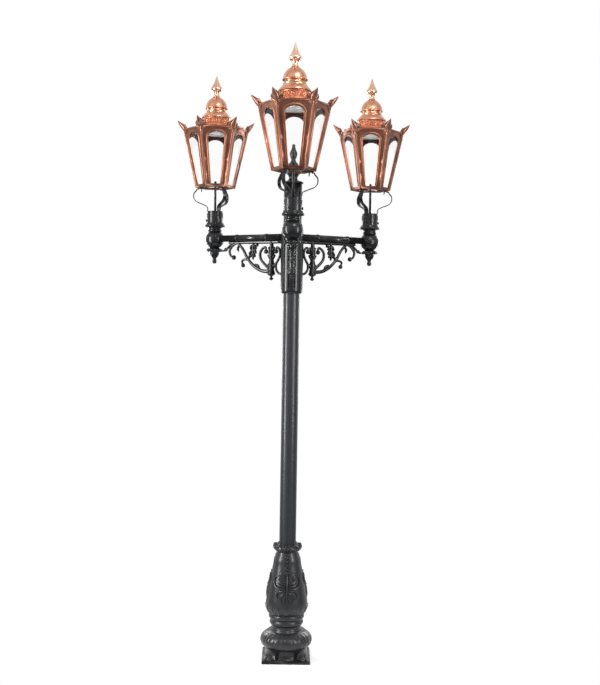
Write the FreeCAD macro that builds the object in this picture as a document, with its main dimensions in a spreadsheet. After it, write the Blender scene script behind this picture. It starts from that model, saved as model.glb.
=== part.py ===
"""A triple head lamp post: an ornamental cast base, a plain tubular shaft, a reeded head with three
scrolled arms, and a six-sided copper lantern on a three-legged frog at the end of each arm.

Millimetres, +Z up, origin on the ground at the middle of the base plate. The front arm points along -Y.
"""

import FreeCAD
import Part
import math
import os
import sys

import Sketcher

V = FreeCAD.Vector

# ---------------------------------------------------------------- driving sizes

SIZES = [
    # base casting
    ("plate_side", 300),
    ("plate_thick", 16),
    ("bolt_spacing", 245),
    ("bolt_hole", 18),
    ("drum_width", 262),
    ("skirt_width", 322),
    ("waist_width", 184),
    ("vase_width", 264),
    ("base_height", 668),
    ("collar_width", 178),
    ("collar_height", 49),
    # shaft and head
    ("shaft_width", 104),
    ("shaft_wall", 5),
    ("foot_ledge", 6),
    ("head_bottom", 2282),
    ("head_width", 137),
    ("head_height", 394),
    ("mast_width", 113),
    ("mast_height", 291),
    ("cable_way", 80),
    ("shaft_in_head", 300),
    ("reed_count", 12),
    ("reed_groove", 9),
    ("post_finial_height", 244),
    # arms
    ("arm_reach", 581),
    ("arm_level", 2636),
    ("arm_width", 42.4),
    ("arm_wall", 3.6),
    ("arm_ring", 6),
    ("azimuth_front", 270),
    ("azimuth_right", 30),
    ("azimuth_left", 150),
    ("bracket_reach", 400),
    ("bracket_drop", 250),
    ("bracket_thick", 20),
    # lamp carriers at the arm ends
    ("ball_width", 122),
    ("cup_top", 2738),
    ("cup_width", 132),
    ("spigot_width", 76),
    ("spigot_height", 45),
    ("drop_length", 105),
    ("wire_way", 24),
    ("sleeve_width", 102),
    ("sleeve_height", 71),
    ("frog_height", 155),
    ("frog_spread", 140),
    ("strip_wide", 22),
    ("strip_thick", 5),
    ("stud_radius", 90),
    ("stud_width", 8),
    ("stud_drop", 26),
    ("conduit_width", 16),
    ("conduit_above_floor", 45),
    ("screw_width", 10),
    ("screw_head", 16),
    # lantern case
    ("case_height", 370),
    ("case_bottom_width", 248),
    ("case_top_width", 413),
    ("sheet_thick", 3),
    ("floor_thick", 5),
    ("floor_opening", 144),
    ("rail_thick", 6),
    ("rail_wide", 20),
    ("corner_bead", 9),
    ("border_low", 24),
    ("border_high", 34),
    ("top_border", 26),
    ("bottom_border", 18),
    ("arch_rise", 26),
    ("pane_thick", 3),
    ("floor_glass_width", 160),
    ("crown_height", 58),
    ("crown_skirt", 32),
    ("crown_width", 497),
    ("crown_sheet", 2.5),
    ("turn_front", 0),
    ("turn_right", 115),
    ("turn_left", 245),
    ("frog_turn_front", 6),
    ("frog_turn_right", 0),
    ("frog_turn_left", 180),
    # lid
    ("hinge_in", 5),
    ("hinge_up", 13),
    ("knuckle_width", 11),
    ("knuckle_long", 39),
    ("pin_width", 5),
    ("pin_play", 0.05),
    ("rest_gap", 0.3),
    ("lid_edge_in", 13),
    ("lid_edge_thick", 4),
    ("lid_pitch", 18),
    ("drum_neck", 160),
    ("drum_rise", 60),
    ("flare_width", 188),
    ("cap_height", 137),
    ("dome_width", 147),
    ("spear_height", 136),
    ("spear_width", 73),
    ("reflector_width", 296),
    ("reflector_rim", 9),
    ("lamp_width", 110),
    ("lamp_drop", 15),
    ("lamp_stem", 60),
]

doc = FreeCAD.newDocument("LampPost")
sheet = doc.addObject("Spreadsheet::Sheet", "Sizes")
for row, (alias, number) in enumerate(SIZES, start=1):
    sheet.set("A%d" % row, alias)
    sheet.set("B%d" % row, str(number))
    sheet.setAlias("B%d" % row, alias)
doc.recompute()


class Size:
    """A length or angle that keeps its number beside the sheet expression that it comes from."""

    def __init__(self, value, text):
        self.value = value
        self.text = text

    def __add__(self, other):
        return Size(self.value + number_of(other), "(%s + %s)" % (self.text, text_of(other)))

    def __radd__(self, other):
        return Size(number_of(other) + self.value, "(%s + %s)" % (text_of(other), self.text))

    def __sub__(self, other):
        return Size(self.value - number_of(other), "(%s - %s)" % (self.text, text_of(other)))

    def __rsub__(self, other):
        return Size(number_of(other) - self.value, "(%s - %s)" % (text_of(other), self.text))

    def __mul__(self, other):
        return Size(self.value * number_of(other), "(%s * %s)" % (self.text, text_of(other)))

    __rmul__ = __mul__

    def __truediv__(self, other):
        return Size(self.value / number_of(other), "(%s / %s)" % (self.text, text_of(other)))

    def __neg__(self):
        return Size(-self.value, "(-1 * %s)" % self.text)


def number_of(item):
    return item.value if isinstance(item, Size) else float(item)


def text_of(item):
    return item.text if isinstance(item, Size) else "%.9g" % item


def size(alias):
    return Size(float(sheet.get(alias)), "Sizes.%s" % alias)


def cos_of(angle):
    return Size(math.cos(math.radians(angle.value)), "cos(%s)" % angle.text)


def sin_of(angle):
    return Size(math.sin(math.radians(angle.value)), "sin(%s)" % angle.text)


FLAT = math.cos(math.radians(30))
nodes = []


def origin_plane(body, role):
    return [f for f in body.Origin.OriginFeatures if f.Role == role][0]


def new_body(label):
    body = doc.addObject("PartDesign::Body", label)
    body.Label = label
    nodes.append(body)
    return body


def new_sketch(body, role="XY_Plane", lift=0):
    sketch = body.newObject("Sketcher::SketchObject", "outline")
    sketch.AttachmentSupport = [(origin_plane(body, role), "")]
    sketch.MapMode = "FlatFace"
    if isinstance(lift, Size):
        sketch.AttachmentOffset = FreeCAD.Placement(V(0, 0, lift.value), FreeCAD.Rotation())
        sketch.setExpression("AttachmentOffset.Base.z", lift.text)
    return sketch


def bind(sketch, kind, refs, item):
    """Adds a driving distance and ties it to its sheet expression."""
    index = sketch.addConstraint(Sketcher.Constraint(kind, *refs, number_of(item)))
    if isinstance(item, Size):
        sketch.setExpression("Constraints[%d]" % index, item.text)


def pin_point(sketch, geometry, end, x, y):
    """Fixes a point of the sketch by its two distances from the origin."""
    if number_of(x) == 0:
        sketch.addConstraint(Sketcher.Constraint("PointOnObject", geometry, end, -2))
    else:
        bind(sketch, "DistanceX", (-1, 1, geometry, end), x)
    if number_of(y) == 0:
        sketch.addConstraint(Sketcher.Constraint("PointOnObject", geometry, end, -1))
    else:
        bind(sketch, "DistanceY", (-1, 1, geometry, end), y)


def draw_outline(sketch, corners):
    """Draws a closed outline. A corner is (x, y); (x, y, "by") is a point on the arc between two corners."""
    spots = [V(number_of(c[0]), number_of(c[1]), 0) for c in corners]
    first = [i for i, c in enumerate(corners) if len(c) == 2]
    pieces = []
    for i, start in enumerate(first):
        stop = first[(i + 1) % len(first)]
        gap = (stop - start) % len(corners)
        if gap == 1:
            edge = sketch.addGeometry(Part.LineSegment(spots[start], spots[stop]), False)
            pieces.append((edge, 1, 2, start))
            continue
        middle = (start + 1) % len(corners)
        a, b, c = spots[start], spots[middle], spots[stop]
        left_turn = (b - a).cross(c - b).z > 0
        arc = Part.Arc(a, b, c) if left_turn else Part.Arc(c, b, a)
        edge = sketch.addGeometry(arc, False)
        pieces.append((edge, 1, 2, start) if left_turn else (edge, 2, 1, start))
        dot = sketch.addGeometry(Part.Point(b), True)
        sketch.addConstraint(Sketcher.Constraint("PointOnObject", dot, 1, edge))
        pin_point(sketch, dot, 1, corners[middle][0], corners[middle][1])
    for i, (edge, head, tail, start) in enumerate(pieces):
        onward = pieces[(i + 1) % len(pieces)]
        sketch.addConstraint(Sketcher.Constraint("Coincident", edge, tail, onward[0], onward[1]))
        pin_point(sketch, edge, head, corners[start][0], corners[start][1])
    return sketch


def draw_circle(sketch, x, y, radius):
    centre = V(number_of(x), number_of(y), 0)
    ring = sketch.addGeometry(Part.Circle(centre, V(0, 0, 1), number_of(radius)), False)
    pin_point(sketch, ring, 3, x, y)
    bind(sketch, "Radius", (ring,), radius)
    return sketch


def hexagon(corner_radius):
    """Corners of a hexagon with flats across Y."""
    half = corner_radius * 0.5
    tall = corner_radius * math.sin(math.radians(60))
    return [(corner_radius, 0), (half, tall), (-half, tall), (-corner_radius, 0), (-half, -tall), (half, -tall)]


def revolve(body, corners, axis="V_Axis"):
    sketch = draw_outline(new_sketch(body, "XZ_Plane"), corners)
    turn = body.newObject("PartDesign::Revolution", "turned")
    turn.Profile = sketch
    turn.ReferenceAxis = (sketch, [axis])
    turn.Angle = 360
    return turn


def pad(body, sketch, length, both_ways=False, backwards=False):
    feature = body.newObject("PartDesign::Pad", "pad")
    feature.Profile = sketch
    feature.Length = number_of(length)
    if isinstance(length, Size):
        feature.setExpression("Length", length.text)
    feature.Midplane = both_ways
    feature.Reversed = backwards
    return feature


def pocket(body, sketch, length, backwards=False):
    feature = body.newObject("PartDesign::Pocket", "pocket")
    feature.Profile = sketch
    feature.Length = number_of(length)
    if isinstance(length, Size):
        feature.setExpression("Length", length.text)
    feature.Reversed = backwards
    return feature


def around(body, features, count):
    """Repeats features about the body's Z axis."""
    pattern = body.newObject("PartDesign::PolarPattern", "ring_of")
    pattern.Originals = features
    axis = [f for f in body.Origin.OriginFeatures if f.Role == "Z_Axis"][0]
    pattern.Axis = (axis, [""])
    pattern.Angle = 360
    pattern.Occurrences = int(number_of(count))
    if isinstance(count, Size):
        pattern.setExpression("Occurrences", count.text)
    body.Tip = pattern
    return pattern


def loft(body, kind, sections):
    """A straight-sided loft through outlines, each (corners, level) with corners a list or a circle."""
    sketches = []
    for corners, level in sections:
        sketch = new_sketch(body, "XY_Plane", level)
        if isinstance(corners, tuple):
            draw_circle(sketch, *corners)
        else:
            draw_outline(sketch, corners)
        sketches.append(sketch)
    feature = body.newObject("PartDesign::%sLoft" % kind, "loft")
    feature.Profile = sketches[0]
    feature.Sections = sketches[1:]
    feature.Ruled = True
    return feature


def place(item, x=None, y=None, z=None, turn=None):
    """Stands a piece at its place and ties the place to the sheet."""
    spot = [number_of(c) if c is not None else 0 for c in (x, y, z)]
    angle = number_of(turn) if turn is not None else 0
    item.Placement = FreeCAD.Placement(V(*spot), FreeCAD.Rotation(V(0, 0, 1), angle))
    for name, value in (("Base.x", x), ("Base.y", y), ("Base.z", z), ("Rotation.Angle", turn)):
        if isinstance(value, Size):
            unit = " * 1deg" if name == "Rotation.Angle" else ""
            item.setExpression("Placement." + name, value.text + unit)


def shaped(label, shape):
    item = doc.addObject("Part::Feature", label)
    item.Label = label
    item.Shape = shape
    nodes.append(item)
    return item


# ---------------------------------------------------------------- base casting

plate_side = size("plate_side")
plate_thick = size("plate_thick")
drum_r = size("drum_width") / 2
skirt_r = size("skirt_width") / 2
waist_r = size("waist_width") / 2
vase_r = size("vase_width") / 2
base_height = size("base_height")
shaft_r = size("shaft_width") / 2
foot_ledge = size("foot_ledge")


def up(fraction):
    """A height on the base casting, as a part of its whole height."""
    return base_height * fraction


base = new_body("base_casting")
revolve(base, [
    (shaft_r - foot_ledge, 0),
    (drum_r, 0),
    (drum_r, up(0.105)),
    (drum_r + 8, up(0.116)),
    (skirt_r, up(0.165), "by"),
    (skirt_r * 0.839, up(0.24)),
    (skirt_r * 0.735, up(0.262)),
    (waist_r + 12, up(0.268)),
    (waist_r + 12, up(0.277)),
    (waist_r + 4, up(0.283)),
    (waist_r, up(0.3), "by"),
    (waist_r + 3, up(0.317)),
    (waist_r + 9, up(0.322)),
    (waist_r + 14, up(0.34), "by"),
    (waist_r + 10, up(0.361)),
    (waist_r + 6, up(0.369)),
    (waist_r + 13, up(0.376)),
    (waist_r + 19, up(0.393), "by"),
    (waist_r + 13, up(0.42)),
    (vase_r * 0.955, up(0.468), "by"),
    (vase_r, up(0.513)),
    (vase_r * 0.962, up(0.57), "by"),
    (vase_r * 0.84, up(0.723)),
    (vase_r * 0.742, up(0.807)),
    (vase_r * 0.659, up(0.891)),
    (vase_r * 0.636, up(0.933)),
    (vase_r * 0.58, up(0.963), "by"),
    (shaft_r + 15, base_height),
    (shaft_r, base_height),
    (shaft_r, up(0.95)),
    (vase_r * 0.56, up(0.9)),
    (vase_r * 0.74, up(0.723)),
    (vase_r * 0.87, up(0.57)),
    (vase_r * 0.88, up(0.49)),
    (waist_r - 4, up(0.42)),
    (waist_r - 12, up(0.3)),
    (waist_r - 8, up(0.268)),
    (skirt_r * 0.72, up(0.23)),
    (skirt_r * 0.86, up(0.165)),
    (drum_r - 14, up(0.105)),
    (drum_r - 14, plate_thick + 12),
    (shaft_r, plate_thick + 12),
    (shaft_r, foot_ledge),
    (shaft_r - foot_ledge, foot_ledge),
])
half_side = plate_side / 2
plate_sketch = new_sketch(base)
draw_outline(plate_sketch, [
    (half_side, half_side), (-half_side, half_side), (-half_side, -half_side), (half_side, -half_side)])
draw_circle(plate_sketch, 0, 0, drum_r - 10)
pad(base, plate_sketch, plate_thick)
bolt_at = size("bolt_spacing") / 2
holes = new_sketch(base)
for sx, sy in ((1, 1), (-1, 1), (-1, -1), (1, -1)):
    draw_circle(holes, bolt_at * sx, bolt_at * sy, size("bolt_hole") / 2)
pocket(base, holes, plate_thick, backwards=True)

collar_r = size("collar_width") / 2
collar_height = size("collar_height")
collar = new_body("base_collar")
revolve(collar, [
    (shaft_r, 0),
    (shaft_r + 15, 0),
    (collar_r * 0.85, collar_height * 0.25, "by"),
    (collar_r, collar_height * 0.51),
    (collar_r * 0.99, collar_height * 0.62, "by"),
    (collar_r * 0.9, collar_height * 0.86),
    (shaft_r + 8, collar_height),
    (shaft_r, collar_height),
])
place(collar, z=base_height)

# ---------------------------------------------------------------- shaft

head_bottom = size("head_bottom")
shaft_top = head_bottom + size("shaft_in_head")
shaft = new_body("shaft")
revolve(shaft, [
    (shaft_r - size("shaft_wall"), foot_ledge),
    (shaft_r, foot_ledge),
    (shaft_r, shaft_top),
    (shaft_r - size("shaft_wall"), shaft_top),
])

# ---------------------------------------------------------------- reeded head, mast and top finial

head_r = size("head_width") / 2
head_height = size("head_height")
mast_r = size("mast_width") / 2
mast_height = size("mast_height")
cable_r = size("cable_way") / 2
arm_level = size("arm_level")
arm_r = size("arm_width") / 2
head_top = head_bottom + head_height
mast_top = head_top + mast_height
head = new_body("head_casting")
revolve(head, [
    (shaft_r, head_bottom),
    (shaft_r + 4, head_bottom),
    (head_r - 4, head_bottom + 8, "by"),
    (head_r, head_bottom + 22),
    (head_r, head_top - 6),
    (head_r - 2, head_top - 1.8, "by"),
    (head_r - 6, head_top),
    (mast_r, head_top + 4),
    (mast_r, mast_top),
    (cable_r, mast_top),
    (cable_r, shaft_top),
    (shaft_r, shaft_top),
])
groove_r = size("reed_groove") / 2
groove_sketch = new_sketch(head, "XY_Plane", head_bottom + 34)
draw_circle(groove_sketch, (head_r + groove_r * 0.35) * math.cos(math.radians(15)),
            (head_r + groove_r * 0.35) * math.sin(math.radians(15)), groove_r)
groove = pocket(head, groove_sketch, head_height - 50, backwards=True)
around(head, [groove], size("reed_count"))
socket_sketch = draw_circle(new_sketch(head, "YZ_Plane"), 0, arm_level, arm_r)
socket = pocket(head, socket_sketch, head_r + 10, backwards=True)
around(head, [socket], 3)
place(head, turn=size("azimuth_right"))

tall = size("post_finial_height")
finial = new_body("post_finial")
revolve(finial, [
    (0, -30),
    (cable_r - 2, -30),
    (cable_r - 2, 0),
    (mast_r + 5, 0),
    (mast_r + 9, tall * 0.018, "by"),
    (mast_r + 4, tall * 0.036),
    (mast_r - 4, tall * 0.05),
    (mast_r * 0.62, tall * 0.075, "by"),
    (mast_r * 0.46, tall * 0.14),
    (mast_r * 0.6, tall * 0.2, "by"),
    (mast_r * 0.84, tall * 0.26),
    (mast_r * 0.74, tall * 0.32, "by"),
    (mast_r * 0.55, tall * 0.36),
    (mast_r * 0.55, tall * 0.5),
    (mast_r * 0.3, tall * 0.56, "by"),
    (mast_r * 0.25, tall * 0.62),
    (mast_r * 0.42, tall * 0.71, "by"),
    (mast_r * 0.3, tall * 0.83),
    (mast_r * 0.18, tall * 0.92),
    (mast_r * 0.13, tall * 0.985, "by"),
    (2, tall),
    (0, tall),
])
place(finial, z=mast_top)

# ---------------------------------------------------------------- arms

arm_reach = size("arm_reach")
ball_r = size("ball_width") / 2
wall_in = arm_r - size("arm_wall")
ring_r = arm_r + size("arm_ring") / 2
cup_top = size("cup_top")
wire_r = size("wire_way") / 2
spigot_r = size("spigot_width") / 2
cup_r = size("cup_width") / 2
HEADS = ("front", "right", "left")
arm_start = cable_r + 4
arm_stop = arm_reach - wire_r - 2
ring_spots = [arm_reach * 0.318, arm_reach * 0.702]


def stand_out(item, side, level, turn=None):
    """Puts a piece at the end of an arm."""
    azimuth = size("azimuth_" + side)
    place(item, x=arm_reach * cos_of(azimuth), y=arm_reach * sin_of(azimuth), z=level, turn=turn)


for side in HEADS:
    azimuth = size("azimuth_" + side)
    arm = new_body("arm_" + side)
    tube = [(arm_start, wall_in), (arm_stop, wall_in), (arm_stop, arm_r)]
    for spot in reversed(ring_spots):
        tube += [(spot + 9, arm_r), (spot + 7, ring_r), (spot - 7, ring_r), (spot - 9, arm_r)]
    revolve(arm, tube + [(arm_start, arm_r)], axis="H_Axis")
    place(arm, z=arm_level, turn=azimuth)

# ---------------------------------------------------------------- balls, cups and drops at the arm ends

neck_r = ball_r * 0.64
ball_above = arm_level - 3
neck_level = ball_above + ball_r * math.sqrt(1 - 0.64 ** 2)
seat_r = ball_r * 0.49
seat_level = ball_above - ball_r * math.sqrt(1 - 0.49 ** 2)
spigot_top = cup_top + size("spigot_height")
stub_r = 9
drop = size("drop_length")
for side in HEADS:
    azimuth = size("azimuth_" + side)
    ball = new_body("ball_cup_" + side)
    revolve(ball, [
        (stub_r, seat_level - cup_top),
        (seat_r, seat_level - cup_top),
        (ball_r, ball_above - cup_top, "by"),
        (neck_r, neck_level - cup_top),
        (neck_r + 6, neck_level - cup_top + 8, "by"),
        (neck_r, neck_level - cup_top + 16),
        (neck_r + 3, -32, "by"),
        (cup_r - 8, -25),
        (cup_r, -19, "by"),
        (cup_r - 6, -12),
        (cup_r - 9, 0),
        (spigot_r, 0),
        (spigot_r, spigot_top - cup_top),
        (wire_r, spigot_top - cup_top),
        (wire_r, arm_level - cup_top - 5),
        (stub_r, arm_level - cup_top - 12),
    ])
    arm_hole = draw_circle(new_sketch(ball, "YZ_Plane"), 0, arm_level - cup_top, arm_r)
    pocket(ball, arm_hole, ball_r + 10)
    stand_out(ball, side, cup_top, azimuth)

    tail = new_body("drop_finial_" + side)
    revolve(tail, [
        (0, 30),
        (stub_r, 30),
        (stub_r, 0),
        (seat_r, 0),
        (seat_r + 4, drop * -0.04),
        (seat_r + 19, drop * -0.14),
        (seat_r + 17, drop * -0.2, "by"),
        (seat_r + 2, drop * -0.24),
        (seat_r - 2, drop * -0.32),
        (seat_r * 0.7, drop * -0.52, "by"),
        (seat_r * 0.4, drop * -0.68),
        (seat_r * 0.38, drop * -0.74),
        (seat_r * 0.52, drop * -0.85, "by"),
        (seat_r * 0.3, drop * -0.97),
        (0, -drop),
    ])
    stand_out(tail, side, seat_level, azimuth)

# ---------------------------------------------------------------- scrolled brackets under the arms

bracket_thick = number_of(size("bracket_thick"))
bracket_reach = number_of(size("bracket_reach"))
bracket_drop = number_of(size("bracket_drop"))
root = number_of(head_r)
under = number_of(arm_level - arm_r)


def spot_at(reach, depth):
    """A point of the bracket's pattern, from its reach out of the head and its depth under the arm."""
    return V(root + reach * bracket_reach, 0, under - depth * bracket_drop)


def bar(points):
    """A flat cast bar along a smooth line through (reach, depth, width) points."""
    path = Part.BSplineCurve()
    path.interpolate([spot_at(p[0], p[1]) for p in points])
    marks = [path.parameter(spot_at(p[0], p[1])) for p in points]
    near = []
    far = []
    steps = 4 * (len(points) - 1)
    for step in range(steps + 1):
        leg = min(step // 4, len(points) - 2)
        share = step / 4 - leg
        mark = marks[leg] + (marks[leg + 1] - marks[leg]) * share
        width = points[leg][2] + (points[leg + 1][2] - points[leg][2]) * share
        along = path.tangent(mark)[0]
        across = V(-along.z, 0, along.x) * (width / 2)
        near.append(path.value(mark) + across)
        far.append(path.value(mark) - across)
    edges = []
    for rail in (near, list(reversed(far))):
        side_line = Part.BSplineCurve()
        side_line.interpolate(rail)
        edges.append(side_line.toShape())
    edges.insert(1, Part.makeLine(near[-1], far[-1]))
    edges.append(Part.makeLine(far[0], near[0]))
    face = Part.Face(Part.Wire(edges))
    face.translate(V(0, -bracket_thick / 2, 0))
    return face.extrude(V(0, bracket_thick, 0))


def boss(reach, depth, radius):
    """A round eye at the end of a curl, a little proud of the bars."""
    proud = bracket_thick / 2 + 2
    start = spot_at(reach, depth) - V(0, proud, 0)
    return Part.makeCylinder(radius, 2 * proud, start, V(0, 1, 0))


BARS = [
    # root against the head and rail under the arm
    [(0.0, 0.0, 20), (0.0, 0.4, 20), (0.0, 0.84, 14)],
    [(0.0, 0.03, 18), (0.5, 0.03, 18), (1.0, 0.03, 12)],
    # main brace from the pendant out to the arm
    [(0.2, 0.72, 22), (0.3, 0.77, 20), (0.43, 0.72, 18), (0.555, 0.59, 17), (0.655, 0.41, 16),
     (0.725, 0.22, 15), (0.79, 0.1, 14), (0.86, 0.03, 10)],
    # pendant stem between the two curls
    [(0.2, 0.0, 26), (0.2, 0.22, 34), (0.2, 0.4, 42), (0.2, 0.58, 34), (0.2, 0.76, 28)],
    # inner and outer sides of the lyre
    [(0.115, 0.26, 9), (0.105, 0.17, 11), (0.06, 0.21, 12), (0.043, 0.34, 12), (0.075, 0.48, 12),
     (0.14, 0.62, 13), (0.2, 0.71, 14)],
    [(0.3, 0.26, 9), (0.31, 0.16, 11), (0.37, 0.2, 13), (0.41, 0.31, 14), (0.395, 0.46, 14),
     (0.33, 0.58, 14), (0.24, 0.7, 16)],
    # loop low on the head
    [(0.1, 0.53, 10), (0.118, 0.64, 12), (0.1, 0.76, 12), (0.05, 0.83, 12), (-0.01, 0.83, 12)],
    # hanging leaf
    [(0.54, 0.02, 14), (0.54, 0.14, 30), (0.54, 0.26, 44), (0.54, 0.37, 34), (0.54, 0.46, 8)],
    # curl below the brace
    [(0.6, 0.5, 9), (0.68, 0.46, 11), (0.745, 0.5, 11), (0.73, 0.6, 9)],
    # curl hanging from the arm
    [(0.83, 0.03, 11), (0.92, 0.09, 13), (0.985, 0.22, 13), (0.965, 0.36, 11), (0.915, 0.4, 9)],
    # tail that runs out to the ball
    [(0.9, 0.02, 12), (0.99, 0.11, 11), (1.06, 0.21, 11), (1.12, 0.235, 8)],
]
BOSSES = [
    (0.118, 0.27, 11), (0.3, 0.27, 11), (0.728, 0.61, 11), (0.905, 0.405, 12), (1.06, 0.2, 9), (0.47, 0.1, 9)]

pieces = [bar(points) for points in BARS] + [boss(*spot) for spot in BOSSES]
stem_x = root + 0.2 * bracket_reach
turned_drop = Part.Face(Part.makePolygon([
    V(0, 0, -0.7 * bracket_drop), V(12, 0, -0.7 * bracket_drop), V(18, 0, -0.76 * bracket_drop),
    V(27, 0, -0.83 * bracket_drop), V(22, 0, -0.87 * bracket_drop), V(10, 0, -0.9 * bracket_drop),
    V(6, 0, -0.92 * bracket_drop), V(11, 0, -0.95 * bracket_drop), V(11, 0, -0.975 * bracket_drop),
    V(5, 0, -bracket_drop), V(0, 0, -bracket_drop), V(0, 0, -0.7 * bracket_drop)]))
turned_drop = turned_drop.revolve(V(0, 0, 0), V(0, 0, 1), 360)
turned_drop.translate(V(stem_x, 0, under))
pieces.append(turned_drop)
scroll = pieces[0].multiFuse(pieces[1:])
far_end = number_of(arm_reach)
scroll = scroll.cut(Part.makeCylinder(root, number_of(mast_top)))
scroll = scroll.cut(Part.makeCylinder(number_of(arm_r), far_end, V(0, 0, number_of(arm_level)), V(1, 0, 0)))
for spot in ring_spots:
    start = V(number_of(spot) - 9, 0, number_of(arm_level))
    scroll = scroll.cut(Part.makeCylinder(number_of(ring_r), 18, start, V(1, 0, 0)))
above = Part.makeBox(3 * far_end, 200, 200, V(-far_end, -100, number_of(arm_level)))
scroll = scroll.cut(above).removeSplitter()
scroll = max(scroll.Solids, key=lambda solid: solid.Volume)
for side in HEADS:
    bracket = shaped("bracket_" + side, scroll.copy())
    place(bracket, turn=size("azimuth_" + side))

# ---------------------------------------------------------------- frogs: sleeve, legs, conduit, fasteners

sleeve_r = size("sleeve_width") / 2
sleeve_height = size("sleeve_height")
frog_height = size("frog_height")
conduit_r = size("conduit_width") / 2
sleeve_top = cup_top + sleeve_height
case_level = sleeve_top + frog_height
stud_at = number_of(size("stud_radius"))
stud_r = number_of(size("stud_width")) / 2
strip_wide = number_of(size("strip_wide"))
strip_thick = number_of(size("strip_thick"))
frog_rise = number_of(frog_height)
spread = number_of(size("frog_spread"))
sleeve_out = number_of(sleeve_r)
stud_drop = number_of(size("stud_drop"))
screw_r = number_of(size("screw_width")) / 2
screw_head_r = number_of(size("screw_head")) / 2


def leg():
    """One strip leg: up from the sleeve, out in a swan neck and back in under the lantern's floor."""
    path_points = [
        (sleeve_out - 4, 0.0), (sleeve_out - 3, 0.13), (sleeve_out + 1, 0.225), (spread * 0.49, 0.29),
        (spread * 0.66, 0.355), (spread * 0.84, 0.425), (spread * 0.965, 0.54), (spread, 0.68),
        (spread * 0.955, 0.82), (spread * 0.86, 0.925), (spread * 0.75, 0.975)]
    half = strip_thick / 2
    path = Part.BSplineCurve()
    path.interpolate([V(x, 0, z * (frog_rise - half)) for x, z in path_points],
                     InitialTangent=V(0, 0, 1), FinalTangent=V(-1, 0, 0.05))
    outer = []
    inner = []
    for step in range(41):
        mark = path.FirstParameter + (path.LastParameter - path.FirstParameter) * step / 40
        along = path.tangent(mark)[0]
        across = V(along.z, 0, -along.x) * half
        outer.append(path.value(mark) + across)
        inner.append(path.value(mark) - across)
    edges = []
    for rail in (outer, list(reversed(inner))):
        side_line = Part.BSplineCurve()
        side_line.interpolate(rail)
        edges.append(side_line.toShape())
    edges.insert(1, Part.makeLine(outer[-1], inner[-1]))
    edges.append(Part.makeLine(inner[0], outer[0]))
    strip = Part.Face(Part.Wire(edges))
    strip.translate(V(0, -strip_wide / 2, 0))
    strip = strip.extrude(V(0, strip_wide, 0))
    foot_start = 50
    foot = Part.makeBox(spread * 0.8 - foot_start, strip_wide, strip_thick,
                        V(foot_start, -strip_wide / 2, frog_rise - strip_thick))
    below = Part.makeBox(2 * spread, strip_wide * 2, frog_rise, V(0, -strip_wide, 0))
    joined = strip.fuse(foot).common(below)
    return joined.cut(Part.makeCylinder(stud_r, frog_rise, V(stud_at, 0, frog_rise / 2)))


seat_ring = Part.makeCylinder(sleeve_out - 1, strip_thick).cut(
    Part.makeCylinder(number_of(conduit_r), strip_thick))
one_leg = leg()
legs = [seat_ring]
for k in range(3):
    copy = one_leg.copy()
    copy.rotate(V(0, 0, 0), V(0, 0, 1), 120 * k)
    legs.append(copy)
frog = legs[0].multiFuse(legs[1:]).removeSplitter()


def hex_bar(radius, start, direction, length):
    """A hexagonal bolt head or nut."""
    corners = [V(radius * math.cos(math.radians(60 * k)), radius * math.sin(math.radians(60 * k)), 0)
               for k in range(7)]
    bar_shape = Part.Face(Part.makePolygon(corners)).extrude(V(0, 0, length))
    bar_shape.Placement = FreeCAD.Placement(start, FreeCAD.Rotation(V(0, 0, 1), direction))
    return bar_shape


def ring_of_screws(inside, outside, level, first_angle, count=3):
    """Radial set screws with hexagon heads, from their tips inside to their heads outside."""
    screws = []
    for k in range(count):
        angle = math.radians(first_angle + 360 / count * k)
        out = V(math.cos(angle), math.sin(angle), 0)
        stem = Part.makeCylinder(screw_r, outside - inside + 2, out * inside + V(0, 0, level), out)
        cap = hex_bar(screw_head_r, out * outside + V(0, 0, level), out, screw_r * 1.4)
        screws.append(stem.fuse(cap).removeSplitter())
    return screws


foot_studs = []
for k in range(3):
    out = V(stud_at * math.cos(math.radians(120 * k)), stud_at * math.sin(math.radians(120 * k)), 0)
    floor = number_of(size("floor_thick"))
    nut = stud_r * 1.7
    stud = Part.makeCylinder(stud_r, stud_drop + floor + 8, out - V(0, 0, stud_drop))
    top_nut = hex_bar(nut, out + V(0, 0, floor), V(0, 0, 1), 6)
    low_nut = hex_bar(nut, out - V(0, 0, strip_thick + 6), V(0, 0, 1), 6)
    foot_studs.append(stud.multiFuse([top_nut, low_nut]).removeSplitter())

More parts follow.
